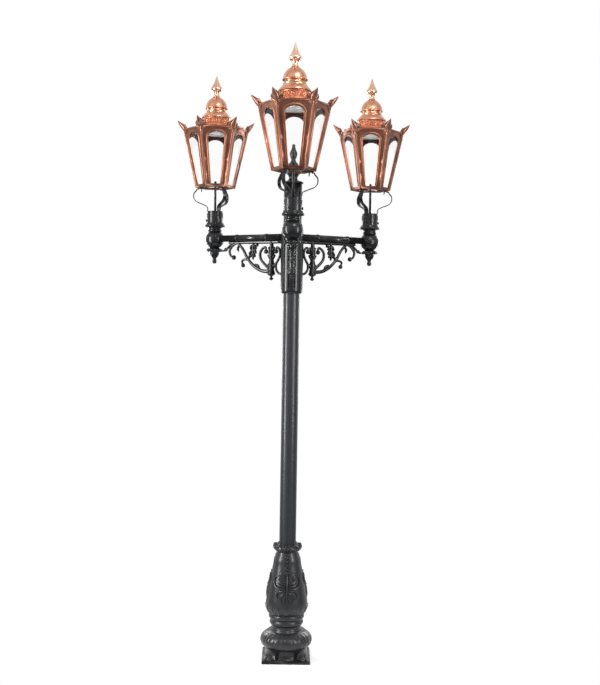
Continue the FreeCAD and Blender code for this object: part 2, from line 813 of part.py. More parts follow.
stud_group = []
screw_group = []
for side in HEADS:
    azimuth = size("azimuth_" + side)
    frog_turn = size("frog_turn_" + side)
    sleeve = new_body("frog_sleeve_" + side)
    revolve(sleeve, [
        (spigot_r, 0),
        (sleeve_r, 0),
        (sleeve_r, sleeve_height - 2),
        (sleeve_r - 2, sleeve_height),
        (conduit_r, sleeve_height),
        (conduit_r, size("spigot_height")),
        (spigot_r, size("spigot_height")),
    ])
    tapped = draw_circle(new_sketch(sleeve, "YZ_Plane"), 0, size("screw_head"), size("screw_width") / 2)
    around(sleeve, [pocket(sleeve, tapped, sleeve_r + 10, backwards=True)], 3)
    stand_out(sleeve, side, cup_top, frog_turn)

    legs_item = shaped("frog_legs_" + side, frog.copy())
    stand_out(legs_item, side, sleeve_top, frog_turn)

    rod = new_body("conduit_" + side)
    rod_top = size("conduit_above_floor") + frog_height
    rod_foot = sleeve_height - size("spigot_height") + 14
    revolve(rod, [
        (0, -rod_foot),
        (conduit_r, -rod_foot),
        (conduit_r, rod_top - conduit_r),
        (conduit_r * 0.72, rod_top - conduit_r * 0.28, "by"),
        (1, rod_top),
        (0, rod_top),
    ])
    stand_out(rod, side, sleeve_top)

    move = FreeCAD.Placement(
        V(number_of(arm_reach * cos_of(azimuth)), number_of(arm_reach * sin_of(azimuth)), 0),
        FreeCAD.Rotation(V(0, 0, 1), number_of(frog_turn)))
    for stud in foot_studs:
        moved = stud.copy()
        moved.Placement = move
        moved.translate(V(0, 0, number_of(case_level)))
        stud_group.append(moved)
    level = number_of(cup_top) + number_of(size("screw_head"))
    for screw in ring_of_screws(number_of(spigot_r), sleeve_out, level, 0):
        screw.Placement = move.multiply(screw.Placement)
        screw_group.append(screw)

shaped("foot_studs", Part.makeCompound(stud_group))
shaped("frog_screws", Part.makeCompound(screw_group))

# ---------------------------------------------------------------- lantern cases

case_height = size("case_height")
case_low = size("case_bottom_width") / 2
case_high = size("case_top_width") / 2
sheet_thick = size("sheet_thick")
floor_thick = size("floor_thick")
rail_thick = size("rail_thick")
rail_inner = case_high * FLAT - size("rail_wide")
bead_r = size("corner_bead") / 2
crown_skirt = size("crown_skirt")
crown_sheet = size("crown_sheet") / FLAT
crown_r = size("crown_width") / 2
crown_height = size("crown_height")
pane_thick = size("pane_thick")
hinge_y = case_high * FLAT - size("hinge_in")
hinge_z = case_height + size("hinge_up")
knuckle_r = size("knuckle_width") / 2
knuckle_long = size("knuckle_long")
pin_r = size("pin_width") / 2
hinge_half = knuckle_long
reach_out = case_high + 50


def case_radius(level):
    """Corner radius of the tapered case at a height above its floor."""
    return case_low + (case_high - case_low) * level / case_height


def window():
    """Outline of one pane opening seen square on, with its arched head."""
    low = size("bottom_border")
    spring = case_height - size("top_border") - size("arch_rise")
    low_half = case_radius(low) * 0.5 - size("border_low")
    high_half = case_radius(spring) * 0.5 - size("border_high")
    return [
        (-low_half, low), (low_half, low), (high_half, spring),
        (0, spring + size("arch_rise"), "by"), (-high_half, spring)]


def crown_cuts():
    """Outlines that leave the crown its ears: the dip between two ears and the gap between two lobes."""
    tip = crown_r * 0.5 - 1.5
    top = case_height + crown_height
    dip = case_height + 5
    hollow = case_high * 0.5
    lobe = case_radius(case_height - crown_skirt) * 0.5
    rising = [
        (tip, top), (hollow * 0.97, case_height + crown_height * 0.72, "by"),
        (hollow * 0.8, case_height + crown_height * 0.56),
        (hollow * 0.68, case_height + crown_height * 0.52, "by"),
        (hollow * 0.61, case_height + crown_height * 0.3), (hollow * 0.55, dip)]
    falling = [(-c[0],) + tuple(c[1:]) for c in reversed(rising)]
    dip_cut = rising + falling + [(-tip - 30, top + 20), (tip + 30, top + 20)]
    under_cut = [
        (lobe - 9, case_height - crown_skirt * 1.3), (lobe - 9, case_height - crown_skirt),
        (lobe - 27, case_height - crown_skirt * 0.6, "by"), (lobe - 34, case_height - 4),
        (-lobe + 34, case_height - 4), (-lobe + 27, case_height - crown_skirt * 0.6, "by"),
        (-lobe + 9, case_height - crown_skirt), (-lobe + 9, case_height - crown_skirt * 1.3)]
    return dip_cut, under_cut


def pane_end(level):
    """Outline of one sloping pane, cut level at a height above the case floor."""
    face = case_radius(level) * FLAT - sheet_thick
    half = case_radius(level) * 0.5 - sheet_thick - 3
    return [(-half, -face), (half, -face), (half, pane_thick - face), (-half, pane_thick - face)]


for side in HEADS:
    turn = size("turn_" + side)
    stud_turn = size("frog_turn_" + side) - turn
    case = new_body("lantern_case_" + side)
    loft(case, "Additive", [(hexagon(case_low), 0), (hexagon(case_high), case_height)])
    bead_top = case_height - crown_skirt
    bead = loft(case, "Additive", [
        ((case_low, 0, bead_r), 0), ((case_radius(bead_top), 0, bead_r), bead_top)])
    around(case, [bead], 6)
    inside_low = case_radius(floor_thick) - sheet_thick / FLAT
    inside_high = case_radius(case_height - rail_thick) - sheet_thick / FLAT
    loft(case, "Subtractive", [
        (hexagon(inside_low), floor_thick), (hexagon(inside_high), case_height - rail_thick)])
    floor_hole = draw_circle(new_sketch(case), 0, 0, size("floor_opening") / 2)
    pocket(case, floor_hole, floor_thick, backwards=True)
    rail_hole = draw_outline(new_sketch(case, "XY_Plane", case_height), hexagon(rail_inner / FLAT))
    pocket(case, rail_hole, rail_thick)
    pane_hole = pocket(case, draw_outline(new_sketch(case, "XZ_Plane"), window()), reach_out, backwards=True)
    around(case, [pane_hole], 6)
    stud_hole = draw_circle(
        new_sketch(case), size("stud_radius") * cos_of(stud_turn), size("stud_radius") * sin_of(stud_turn),
        size("stud_width") / 2)
    around(case, [pocket(case, stud_hole, floor_thick, backwards=True)], 3)
    block = draw_outline(new_sketch(case, "YZ_Plane"), [
        (hinge_y - knuckle_r, case_height - 1), (hinge_y + size("hinge_in"), case_height - 1),
        (hinge_y + knuckle_r - 1, hinge_z), (hinge_y - knuckle_r, hinge_z)])
    pad(case, block, hinge_half * 2, both_ways=True)
    barrel = draw_circle(new_sketch(case, "YZ_Plane"), hinge_y, hinge_z, knuckle_r)
    pad(case, barrel, hinge_half * 2, both_ways=True)
    gap = draw_outline(new_sketch(case, "YZ_Plane"), [
        (hinge_y - knuckle_r - 4, case_height), (hinge_y + knuckle_r + 4, case_height),
        (hinge_y + knuckle_r + 4, hinge_z + knuckle_r + 4), (hinge_y - knuckle_r - 4, hinge_z + knuckle_r + 4)])
    notch = pocket(case, gap, knuckle_long + 2 * size("rest_gap"))
    notch.Midplane = True
    pin_hole = pocket(case, draw_circle(new_sketch(case, "YZ_Plane"), hinge_y, hinge_z, pin_r), hinge_half * 3)
    pin_hole.Midplane = True
    stand_out(case, side, case_level, turn)

    crown = new_body("crown_" + side)
    flare = [(0, 0), (0.25, 0.12), (0.5, 0.3), (0.75, 0.58), (1, 1)]
    outer = [(hexagon(case_radius(case_height - crown_skirt) + crown_sheet), case_height - crown_skirt)]
    inner = [(hexagon(case_radius(case_height - crown_skirt)), case_height - crown_skirt)]
    for rise, spread_share in flare:
        radius = case_high + crown_sheet + (crown_r - case_high - crown_sheet) * spread_share
        outer.append((hexagon(radius), case_height + crown_height * rise))
        inner.append((hexagon(radius - crown_sheet), case_height + crown_height * rise))
    loft(crown, "Additive", outer)
    loft(crown, "Subtractive", inner)
    cut_sketch = new_sketch(crown, "XZ_Plane")
    for outline in crown_cuts():
        draw_outline(cut_sketch, outline)
    around(crown, [pocket(crown, cut_sketch, reach_out + 50, backwards=True)], 6)
    stand_out(crown, side, case_level, turn)

    panes = new_body("glass_panes_" + side)
    pane_top = case_height - rail_thick - 2
    pane = loft(panes, "Additive", [(pane_end(floor_thick), floor_thick), (pane_end(pane_top), pane_top)])
    around(panes, [pane], 6)
    stand_out(panes, side, case_level, turn)

    floor_glass = new_body("glass_floor_" + side)
    glass_r = size("floor_glass_width") / 2
    revolve(floor_glass, [
        (conduit_r, floor_thick), (glass_r, floor_thick), (glass_r, floor_thick + pane_thick),
        (conduit_r, floor_thick + pane_thick)])
    stand_out(floor_glass, side, case_level, turn)

    pin = new_body("hinge_pin_" + side)
    pin_sketch = draw_circle(new_sketch(pin, "YZ_Plane"), hinge_y, hinge_z, pin_r)
    pad(pin, pin_sketch, hinge_half * 2 + 1, both_ways=True)
    for way in (1, -1):
        head_sketch = draw_circle(new_sketch(pin, "YZ_Plane", hinge_half * way), hinge_y, hinge_z, pin_r + 1.5)
        pad(pin, head_sketch, 2, backwards=way < 0)
    stand_out(pin, side, case_level, turn)

# ---------------------------------------------------------------- hinged lids

lid_level = case_height + size("rest_gap")
lid_edge = case_high * FLAT - size("lid_edge_in")
edge_thick = size("lid_edge_thick")
lid_pitch = size("lid_pitch")
drum_neck = size("drum_neck") / 2
reflector_r = size("reflector_width") / 2
lid_opening = reflector_r - 8
drum_foot = edge_thick + lid_pitch
drum_top = drum_foot + size("drum_rise")
flare_r = size("flare_width") / 2
dome_r = size("dome_width") / 2
cap_height = size("cap_height")
spear_height = size("spear_height")
spear_r = size("spear_width") / 2
stem_r = size("lamp_stem") / 2
lamp_r = size("lamp_width") / 2
axis_up = hinge_z - lid_level

for side in HEADS:
    turn = size("turn_" + side)
    level = case_level + lid_level
    roof = new_body("roof_" + side)
    loft(roof, "Additive", [
        (hexagon(lid_edge / FLAT), 0), (hexagon(lid_edge / FLAT), edge_thick),
        (hexagon((drum_neck + 6) / FLAT), drum_foot)])
    drum_sketch = draw_circle(new_sketch(roof, "XY_Plane", edge_thick), 0, 0, drum_neck)
    pad(roof, drum_sketch, drum_top - edge_thick)
    loft(roof, "Subtractive", [
        (hexagon(lid_opening / FLAT), 0), (hexagon(lid_opening / FLAT - 4), edge_thick + 2),
        (hexagon(drum_neck / FLAT - 6), drum_foot - 4)])
    bore = draw_circle(new_sketch(roof), 0, 0, drum_neck - sheet_thick)
    pocket(roof, bore, drum_top + 1, backwards=True)
    leaf = draw_outline(new_sketch(roof, "YZ_Plane"), [
        (lid_edge - 6, 1), (lid_edge, 1), (hinge_y + 1, axis_up - knuckle_r + 1.2),
        (hinge_y - 3, axis_up + knuckle_r - 1.5), (lid_edge - 6, edge_thick + 1)])
    pad(roof, leaf, knuckle_long, both_ways=True)
    barrel = draw_circle(new_sketch(roof, "YZ_Plane"), hinge_y, axis_up, knuckle_r)
    pad(roof, barrel, knuckle_long, both_ways=True)
    hole = draw_circle(new_sketch(roof, "YZ_Plane"), hinge_y, axis_up, pin_r + size("pin_play"))
    pin_hole = pocket(roof, hole, knuckle_long * 2)
    pin_hole.Midplane = True
    stand_out(roof, side, level, turn)

    cap = new_body("vent_cap_" + side)
    revolve(cap, [
        (drum_neck - 5, 0), (flare_r - 3, 0), (flare_r - 3, -3), (flare_r, -3), (flare_r, 3),
        (flare_r * 0.7, cap_height * 0.25), (flare_r * 0.72, cap_height * 0.262),
        (flare_r * 0.72, cap_height * 0.3), (flare_r * 0.63, cap_height * 0.315),
        (flare_r * 0.61, cap_height * 0.395), (dome_r - 2, cap_height * 0.425),
        (dome_r, cap_height * 0.447, "by"), (dome_r - 2, cap_height * 0.47),
        (dome_r - 5, cap_height * 0.5), (dome_r * 0.74, cap_height * 0.78, "by"),
        (dome_r * 0.34, cap_height * 0.95), (dome_r * 0.3, cap_height * 0.975),
        (dome_r * 0.3, cap_height), (0, cap_height), (0, cap_height - 6),
        (dome_r * 0.24, cap_height * 0.9), (dome_r * 0.68, cap_height * 0.75), (dome_r - 8, cap_height * 0.5),
        (dome_r - 8, cap_height * 0.455), (flare_r * 0.57, cap_height * 0.41),
        (flare_r * 0.57, cap_height * 0.3), (drum_neck - 5, 5)])
    stand_out(cap, side, level + drum_top, turn)

    spear = new_body("spear_finial_" + side)
    revolve(spear, [
        (0, 0), (spear_r * 0.6, 0), (spear_r * 0.48, spear_height * 0.05, "by"),
        (spear_r * 0.44, spear_height * 0.12), (spear_r * 0.52, spear_height * 0.19, "by"),
        (spear_r * 0.82, spear_height * 0.27), (spear_r, spear_height * 0.36, "by"),
        (spear_r * 0.84, spear_height * 0.47), (spear_r * 0.47, spear_height * 0.66, "by"),
        (spear_r * 0.22, spear_height * 0.85), (spear_r * 0.06, spear_height * 0.985), (0, spear_height)])
    stand_out(spear, side, level + drum_top + cap_height, turn)

    reflector = new_body("reflector_" + side)
    revolve(reflector, [
        (stem_r + 1, 0), (reflector_r, 0), (reflector_r, -size("reflector_rim") - 3),
        (reflector_r - 2, -size("reflector_rim") - 3), (reflector_r - 2, -3), (stem_r + 1, -3)])
    stand_out(reflector, side, level, turn)

    lamp = new_body("led_lamp_" + side)
    lamp_drop = size("lamp_drop")
    revolve(lamp, [
        (0, -3 - lamp_drop), (lamp_r - 3, -3 - lamp_drop), (lamp_r, -lamp_drop), (lamp_r, -3),
        (stem_r, -3), (stem_r, lid_pitch - 4), (stem_r - 4, lid_pitch), (0, lid_pitch)])
    stand_out(lamp, side, level, turn)

# ---------------------------------------------------------------- check and write

doc.recompute()
faults = [item.Name for item in doc.Objects if "Invalid" in item.State or "Error" in item.State]
faults += [item.Label for item in nodes if item.Shape.isNull() or not item.Shape.isValid()]
if faults:
    sys.exit("faulty: " + ", ".join(faults))
os.makedirs("parts", exist_ok=True)
for item in nodes:
    print(item.Label, round(item.Shape.Volume), len(item.Shape.Solids))
    item.Shape.exportStep(os.path.join("parts", item.Label + ".step"))
print(len(nodes), "pieces")
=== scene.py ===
import bisect
import math

import bmesh
import bpy
from mathutils import Matrix, Vector
from mathutils.bvhtree import BVHTree


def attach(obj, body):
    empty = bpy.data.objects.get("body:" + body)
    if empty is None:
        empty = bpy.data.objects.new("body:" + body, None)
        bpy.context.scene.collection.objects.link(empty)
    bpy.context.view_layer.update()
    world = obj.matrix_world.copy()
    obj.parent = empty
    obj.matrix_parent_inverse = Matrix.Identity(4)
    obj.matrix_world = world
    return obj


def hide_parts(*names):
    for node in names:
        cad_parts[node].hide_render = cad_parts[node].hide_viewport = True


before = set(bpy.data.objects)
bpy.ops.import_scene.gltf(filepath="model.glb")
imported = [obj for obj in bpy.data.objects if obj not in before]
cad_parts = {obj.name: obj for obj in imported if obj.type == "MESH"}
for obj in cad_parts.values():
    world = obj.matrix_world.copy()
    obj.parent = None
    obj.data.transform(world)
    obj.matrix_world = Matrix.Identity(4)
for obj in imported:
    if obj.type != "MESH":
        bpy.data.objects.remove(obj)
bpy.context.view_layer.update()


# ---------------------------------------------------------------- base casting
# The foot of the post: one hollow iron casting with a square ground plate, a plain drum, a swelling
# ribbed skirt and a tall vase with leaves in relief. It is sand cast and painted gloss black.

MM = 0.001  # lengths are in mm from here on, and become metres in the mesh
iron_black = (0.017, 0.0175, 0.020)
# painted shade: a darker black for the foot under the skirt, where the skirt's shadow falls
skirt_shade_black = (0.004, 0.004, 0.0045)
paint_shine = 0.42
brush_size = 9
cast_grain = 240
cast_dent = 0.00022
# painted shade: the heights over which that darker foot fades back to the paint's own black
skirt_shade_from, skirt_shade_to = 0.055, 0.085  # in metres, as the paint's own coordinates are
weld_reach = 0.00002  # in metres
look_in_from = 0.4  # in metres
strip_roundness = 0.6
groove_half_width = 0.2
lobe_shift = 0.02
skirt_rib = [(0, 80, 24, 0.8), (0, 98, 36, 1.4), (0, 125, 40, 1.8), (0, 152, 34, 1.4),
             (0, 172, 24, 0.8)]
skirt_rib_count = 26
vase_faces = 3
vase_depth = 1.7
husk_count = 5
husk_top = 650
husk_step = 23
sepal_count = 16


def add_node(tree, kind, **sockets):
    """Adds a shader or geometry node and sets its named sockets."""
    node = tree.nodes.new(kind)
    for name, value in sockets.items():
        node.inputs[name.replace("_", " ")].default_value = value
    return node


def math_node(tree, operation):
    """Adds a node that works out one sum."""
    node = tree.nodes.new("ShaderNodeMath")
    node.operation = operation
    return node


def new_finish(name, **sockets):
    """A new material with the named sockets of its shader set; returns it, its tree and its shader."""
    finish = bpy.data.materials.new(name)
    finish.use_nodes = True
    shader = finish.node_tree.nodes["Principled BSDF"]
    for socket, value in sockets.items():
        shader.inputs[socket.replace("_", " ")].default_value = value
    return finish, finish.node_tree, shader


def colour_blend(tree, first, second):
    """Adds a node that runs from one colour to another."""
    blend = tree.nodes.new("ShaderNodeMix")
    blend.data_type = "RGBA"
    blend.inputs["A"].default_value = (*first, 1)
    blend.inputs["B"].default_value = (*second, 1)
    return blend


def uneven(tree, size, low, high, detail=3.0):
    """A soft noise over the piece's own coordinates, spread between two numbers."""
    spot = tree.nodes.new("ShaderNodeTexCoord")
    noise = add_node(tree, "ShaderNodeTexNoise", Scale=size, Detail=detail, Roughness=0.55)
    spread = add_node(tree, "ShaderNodeMapRange", From_Min=0.3, From_Max=0.7, To_Min=low, To_Max=high)
    tree.links.new(spot.outputs["Object"], noise.inputs["Vector"])
    tree.links.new(noise.outputs["Fac"], spread.inputs["Value"])
    return spread.outputs["Result"]


def dented(tree, shader, size, depth, strength=0.5):
    """Gives a surface the slight unevenness of a casting or of beaten sheet."""
    height = uneven(tree, size, low=0.0, high=1.0, detail=5.0)
    bump = add_node(tree, "ShaderNodeBump", Strength=strength, Distance=depth)
    tree.links.new(height, bump.inputs["Height"])
    tree.links.new(bump.outputs["Normal"], shader.inputs["Normal"])


def gloss_black(name, colour, grain, rough_from, rough_to):
    """Black paint on iron or steel, a little uneven from brush and casting."""
    paint, tree, shader = new_finish(name, Base_Color=(*colour, 1), Specular_IOR_Level=paint_shine)
    tree.links.new(uneven(tree, brush_size, low=rough_from, high=rough_to), shader.inputs["Roughness"])
    dented(tree, shader, grain, depth=cast_dent)
    return paint


base_paint = gloss_black("black paint on the base casting", iron_black, cast_grain,
                         rough_from=0.22, rough_to=0.33)
# painted shade: the foot under the skirt is coloured darker, standing in for the shadow of the skirt's
# overhang
foot_tree = base_paint.node_tree
foot_spot = add_node(foot_tree, "ShaderNodeTexCoord")
foot_parts = add_node(foot_tree, "ShaderNodeSeparateXYZ")
foot_rise = add_node(foot_tree, "ShaderNodeMapRange", From_Min=skirt_shade_from, From_Max=skirt_shade_to)
foot_shade_blend = colour_blend(foot_tree, skirt_shade_black, iron_black)
foot_tree.links.new(foot_spot.outputs["Object"], foot_parts.inputs["Vector"])
foot_tree.links.new(foot_parts.outputs["Z"], foot_rise.inputs["Value"])
foot_tree.links.new(foot_rise.outputs["Result"], foot_shade_blend.inputs["Factor"])
foot_tree.links.new(foot_shade_blend.outputs["Result"],
                    foot_tree.nodes["Principled BSDF"].inputs["Base Color"])


def shaded_object(name, data, material, sharp):
    """An object of one finish, softly shaded between its true edges."""
    data.shade_smooth()
    data.set_sharp_from_angle(angle=math.radians(sharp))
    data.materials.clear()
    data.materials.append(material)
    piece = bpy.data.objects.new(name, data)
    bpy.context.scene.collection.objects.link(piece)
    return piece


def finish_piece(name, meshes, material, body, sharp=40):
    """Joins closed meshes to one object on its body."""
    whole = bmesh.new()
    for mesh in meshes:
        part = bpy.data.meshes.new(name)
        mesh.to_mesh(part)
        mesh.free()
        whole.from_mesh(part)
        bpy.data.meshes.remove(part)
    bmesh.ops.recalc_face_normals(whole, faces=whole.faces)
    data = bpy.data.meshes.new(name)
    whole.to_mesh(data)
    whole.free()
    piece = shaded_object(name, data, material, sharp)
    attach(piece, body)
    return piece


def soften(name, node, material, body, sharp=32):
    """A CAD piece with its own shape, softly shaded, standing in for the plain solid."""
    mesh = bmesh.new()
    mesh.from_mesh(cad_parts[node].data)
    bmesh.ops.remove_doubles(mesh, verts=mesh.verts, dist=weld_reach)
    data = bpy.data.meshes.new(name)
    mesh.to_mesh(data)
    mesh.free()
    piece = shaded_object(name, data, material, sharp)
    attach(piece, body)
    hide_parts(node)
    return piece


def turned_rows(node, low, high, step, centre=(0, 0)):
    """Rows of (height, radius, height) in mm on a turned solid's outside, found by looking inwards."""
    mesh = bmesh.new()
    mesh.from_mesh(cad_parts[node].data)
    outside = BVHTree.FromBMesh(mesh)
    mesh.free()
    rows = []
    for count in range(int((high - low) / step) + 1):
        height = low + step * count
        start = Vector((centre[0] + look_in_from, centre[1], height * MM))
        hit = outside.ray_cast(start, Vector((-1, 0, 0)))[0]
        if hit is not None:
            rows.append((height, (hit.x - centre[0]) / MM, height))
    return rows


def round_form(rows):
    """Places (distance around, key, lift) on a turned form given by rows of (key, radius, height)."""
    keys = [row[0] for row in rows]

    def spot(around, key, lift):
        first = min(max(bisect.bisect_right(keys, key) - 1, 0), len(keys) - 2)
        (key_0, radius_0, height_0), (key_1, radius_1, height_1) = rows[first], rows[first + 1]
        share = min(max((key - key_0) / (key_1 - key_0), 0), 1)
        radius = radius_0 + (radius_1 - radius_0) * share
        height = height_0 + (height_1 - height_0) * share
        run = math.hypot(radius_1 - radius_0, height_1 - height_0)
        turn = around / radius
        radius += lift * (height_1 - height_0) / run
        height -= lift * (radius_1 - radius_0) / run
        return Vector((radius * math.cos(turn), radius * math.sin(turn), height)) * MM

    return spot


def smooth_line(points, steps=5):
    """A smooth line of (across, along, width, height) through the given points."""
    ends = [points[0]] + list(points) + [points[-1]]
    line = []
    for p, q, r, s in zip(ends, ends[1:], ends[2:], ends[3:]):
        for count in range(steps):
            t = count / steps
            line.append(tuple(
                0.5 * (2 * b + (c - a) * t + (2 * a - 5 * b + 4 * c - d) * t * t
                       + (3 * b - a - 3 * c + d) * t ** 3)
                for a, b, c, d in zip(p, q, r, s)))
    line.append(tuple(points[-1]))
    return line


def leaf_line(points, lobes, deep=0.3, steps=6):
    """A smooth line whose width swells and shrinks like the lobes of a leaf."""
    line = smooth_line(points, steps)
    last = len(line) - 1
    leaf = []
    for count, (u, v, wide, tall) in enumerate(line):
        swell = abs(math.sin(math.pi * lobes * (count / last + lobe_shift)))
        leaf.append((u, v, wide * (1 - deep * (1 - swell)), tall))
    return leaf


def eye_line(u, v, reach, tall):
    """The line of a round boss, across its middle from one side to the other."""
    line = []
    for share in (-0.97, -0.8, -0.45, 0, 0.45, 0.8, 0.97):
        level = math.sqrt(1 - share * share)
        line.append((u + reach * share, v, 2 * reach * level, tall * level))
    return line


def raise_strip(mesh, spot, line, across=5, groove=0.0, sunk=0.8, depth=1.0):
    """Lays a closed rounded strip on a surface along a line, with its edge sunk into the surface."""
    top = []
    low = []
    for count, (u, v, wide, tall) in enumerate(line):
        before = line[max(count - 1, 0)]
        after = line[min(count + 1, len(line) - 1)]
        du, dv = after[0] - before[0], after[1] - before[1]
        run = math.hypot(du, dv)
        top_row = []
        low_row = []
        for side in range(across):
            t = 2 * side / (across - 1) - 1
            at_u, at_v = u - dv / run * t * wide / 2, v + du / run * t * wide / 2
            edge = side in (0, across - 1) or count in (0, len(line) - 1)
            dip = 1 - groove * math.exp(-(t / groove_half_width) ** 2)
            lift = depth * tall * (1 - t * t) ** strip_roundness * dip
            top_row.append(mesh.verts.new(spot(at_u, at_v, -sunk if edge else lift)))
            low_row.append(top_row[-1] if edge else mesh.verts.new(spot(at_u, at_v, -2 * sunk)))
        top.append(top_row)
        low.append(low_row)
    for row in range(len(line) - 1):
        for side in range(across - 1):
            for sheet, order in ((top, 1), (low, -1)):
                near, far = sheet[row], sheet[row + 1]
                corners = [near[side], near[side + 1], far[side + 1], far[side]]
                mesh.faces.new(corners[::order])


def mirrored(line):
    """The same line on the other side of the middle."""
    return [(-u, v, wide, tall) for u, v, wide, tall in line]


def ring_tree():
    """A node tree that sets copies of one piece in a ring about an upright axis."""
    tree = bpy.data.node_groups.new("ring_of_pieces", "GeometryNodeTree")
    for name, kind in (("Piece", "NodeSocketObject"), ("Count", "NodeSocketInt"),
                       ("Centre", "NodeSocketVector"), ("First Turn", "NodeSocketFloat"),
                       ("Finish", "NodeSocketMaterial")):
        tree.interface.new_socket(name=name, in_out="INPUT", socket_type=kind)
    tree.interface.new_socket(name="Ring", in_out="OUTPUT", socket_type="NodeSocketGeometry")
    given = tree.nodes.new("NodeGroupInput")
    points = tree.nodes.new("GeometryNodeMeshLine")
    points.inputs["Offset"].default_value = (0, 0, 0)
    number = tree.nodes.new("GeometryNodeInputIndex")
    step = math_node(tree, "DIVIDE")
    step.inputs[0].default_value = 2 * math.pi
    turn = math_node(tree, "MULTIPLY_ADD")
    spin = tree.nodes.new("ShaderNodeCombineXYZ")
    piece = tree.nodes.new("GeometryNodeObjectInfo")
    copies = tree.nodes.new("GeometryNodeInstanceOnPoints")
    real = tree.nodes.new("GeometryNodeRealizeInstances")
    finish = tree.nodes.new("GeometryNodeSetMaterial")
    result = tree.nodes.new("NodeGroupOutput")
    join = tree.links.new
    join(given.outputs["Count"], points.inputs["Count"])
    join(given.outputs["Centre"], points.inputs["Start Location"])
    join(given.outputs["Count"], step.inputs[1])
    join(number.outputs["Index"], turn.inputs[0])
    join(step.outputs["Value"], turn.inputs[1])
    join(given.outputs["First Turn"], turn.inputs[2])
    join(turn.outputs["Value"], spin.inputs["Z"])
    join(given.outputs["Piece"], piece.inputs["Object"])
    join(points.outputs["Mesh"], copies.inputs["Points"])
    join(piece.outputs["Geometry"], copies.inputs["Instance"])
    join(spin.outputs["Vector"], copies.inputs["Rotation"])
    join(copies.outputs["Instances"], real.inputs["Geometry"])
    join(real.outputs["Geometry"], finish.inputs["Geometry"])
    join(given.outputs["Finish"], finish.inputs["Material"])
    join(finish.outputs["Geometry"], result.inputs["Ring"])
    return tree


ring_pieces = ring_tree()
ring_inputs = {item.name: item.identifier for item in ring_pieces.interface.items_tree
               if item.in_out == "INPUT"}


def ring_of(shape, count, material, centre=(0, 0, 0), first_turn=0):
    """Copies of a shape in a ring, made by the node tree; the first is turned by so many degrees."""
    data = bpy.data.meshes.new("one_piece")
    shape.to_mesh(data)
    shape.free()
    one = bpy.data.objects.new("one_piece", data)
    carrier = bpy.data.objects.new("ring", bpy.data.meshes.new("ring"))
    for item in (one, carrier):
        bpy.context.scene.collection.objects.link(item)
    ring = carrier.modifiers.new("ring", "NODES")
    ring.node_group = ring_pieces
    for name, value in (("Piece", one), ("Count", count), ("Centre", centre),
                        ("First Turn", math.radians(first_turn)), ("Finish", material)):
        ring[ring_inputs[name]] = value
    seen = bpy.context.evaluated_depsgraph_get()
    made = bpy.data.meshes.new_from_object(carrier.evaluated_get(seen), depsgraph=seen)
    mesh = bmesh.new()
    mesh.from_mesh(made)
    carrier.modifiers.remove(ring)
    for item in (carrier, one):
        bpy.data.objects.remove(item)
    for spare in (made, data):
        bpy.data.meshes.remove(spare)
    return mesh


soften("base_with_plate", "base_casting", base_paint, "post")

skirt = round_form(turned_rows("base_casting", low=72, high=180, step=4))
rib = bmesh.new()
raise_strip(rib, skirt, smooth_line(skirt_rib, steps=3), across=7)
finish_piece("skirt_ribs", [ring_of(rib, skirt_rib_count, base_paint)],
             base_paint, "post")

vase = round_form(turned_rows("base_casting", low=272, high=664, step=4))
face = bmesh.new()
# string of husks down the middle
for husk in range(husk_count):
    top = husk_top - husk_step * husk
    middle = smooth_line([(0, top, 6, 2), (0, top - 9, 12, 5), (0, top - 21, 4, 2)], steps=3)
    raise_strip(face, vase, middle, depth=vase_depth)
    for line in ([(1, top - 12, 5, 2), (10, top - 5, 10, 4), (18, top + 3, 3, 1)],
                 [(2, top - 16, 4, 2), (10, top - 15, 8, 3), (17, top - 10, 3, 1)]):
        raise_strip(face, vase, smooth_line(line, steps=3), depth=vase_depth)
        raise_strip(face, vase, smooth_line(mirrored(line), steps=3), depth=vase_depth)
# pair of acanthus scrolls
scroll = smooth_line([(4, 462, 10, 4), (32, 457, 14, 7), (62, 464, 14, 7), (82, 484, 12, 6),
                      (80, 512, 11, 6), (62, 532, 11, 6), (42, 530, 9, 5), (34, 514, 8, 5),
                      (42, 503, 6, 4)], steps=4)
ribs = [
    leaf_line([(5, 471, 9, 4), (34, 475, 14, 6), (66, 490, 5, 3)], lobes=2),
    leaf_line([(5, 483, 9, 4), (30, 490, 14, 6), (56, 506, 5, 3)], lobes=2),
    leaf_line([(5, 496, 9, 4), (18, 506, 12, 5), (26, 522, 5, 3)], lobes=2),
    leaf_line([(6, 516, 9, 4), (18, 534, 14, 6), (34, 547, 11, 5), (56, 550, 4, 2)], lobes=3)]
eye = eye_line(46, 512, reach=9, tall=6)
for line in [scroll, eye] + ribs:
    raise_strip(face, vase, line, groove=0.25, depth=vase_depth)
    raise_strip(face, vase, mirrored(line), groove=0.25, depth=vase_depth)
# stem, curled leaves and drops below the scrolls
stem = smooth_line([(0, 552, 9, 3), (0, 500, 13, 5), (0, 456, 18, 6), (0, 410, 12, 5),
                    (0, 366, 6, 3)], steps=4)
raise_strip(face, vase, stem, depth=vase_depth)
for line in (smooth_line([(4, 448, 9, 4), (30, 447, 13, 6), (56, 434, 13, 6), (66, 410, 11, 5),
                          (54, 394, 8, 4), (44, 402, 6, 3)], steps=4),
             leaf_line([(8, 436, 8, 4), (28, 426, 14, 6), (40, 404, 16, 6), (34, 378, 10, 4),
                        (20, 356, 4, 2)], lobes=3),
             leaf_line([(6, 410, 7, 3), (15, 392, 12, 4), (13, 366, 4, 2)], lobes=2)):
    raise_strip(face, vase, line, groove=0.3, depth=vase_depth)
    raise_strip(face, vase, mirrored(line), groove=0.3, depth=vase_depth)
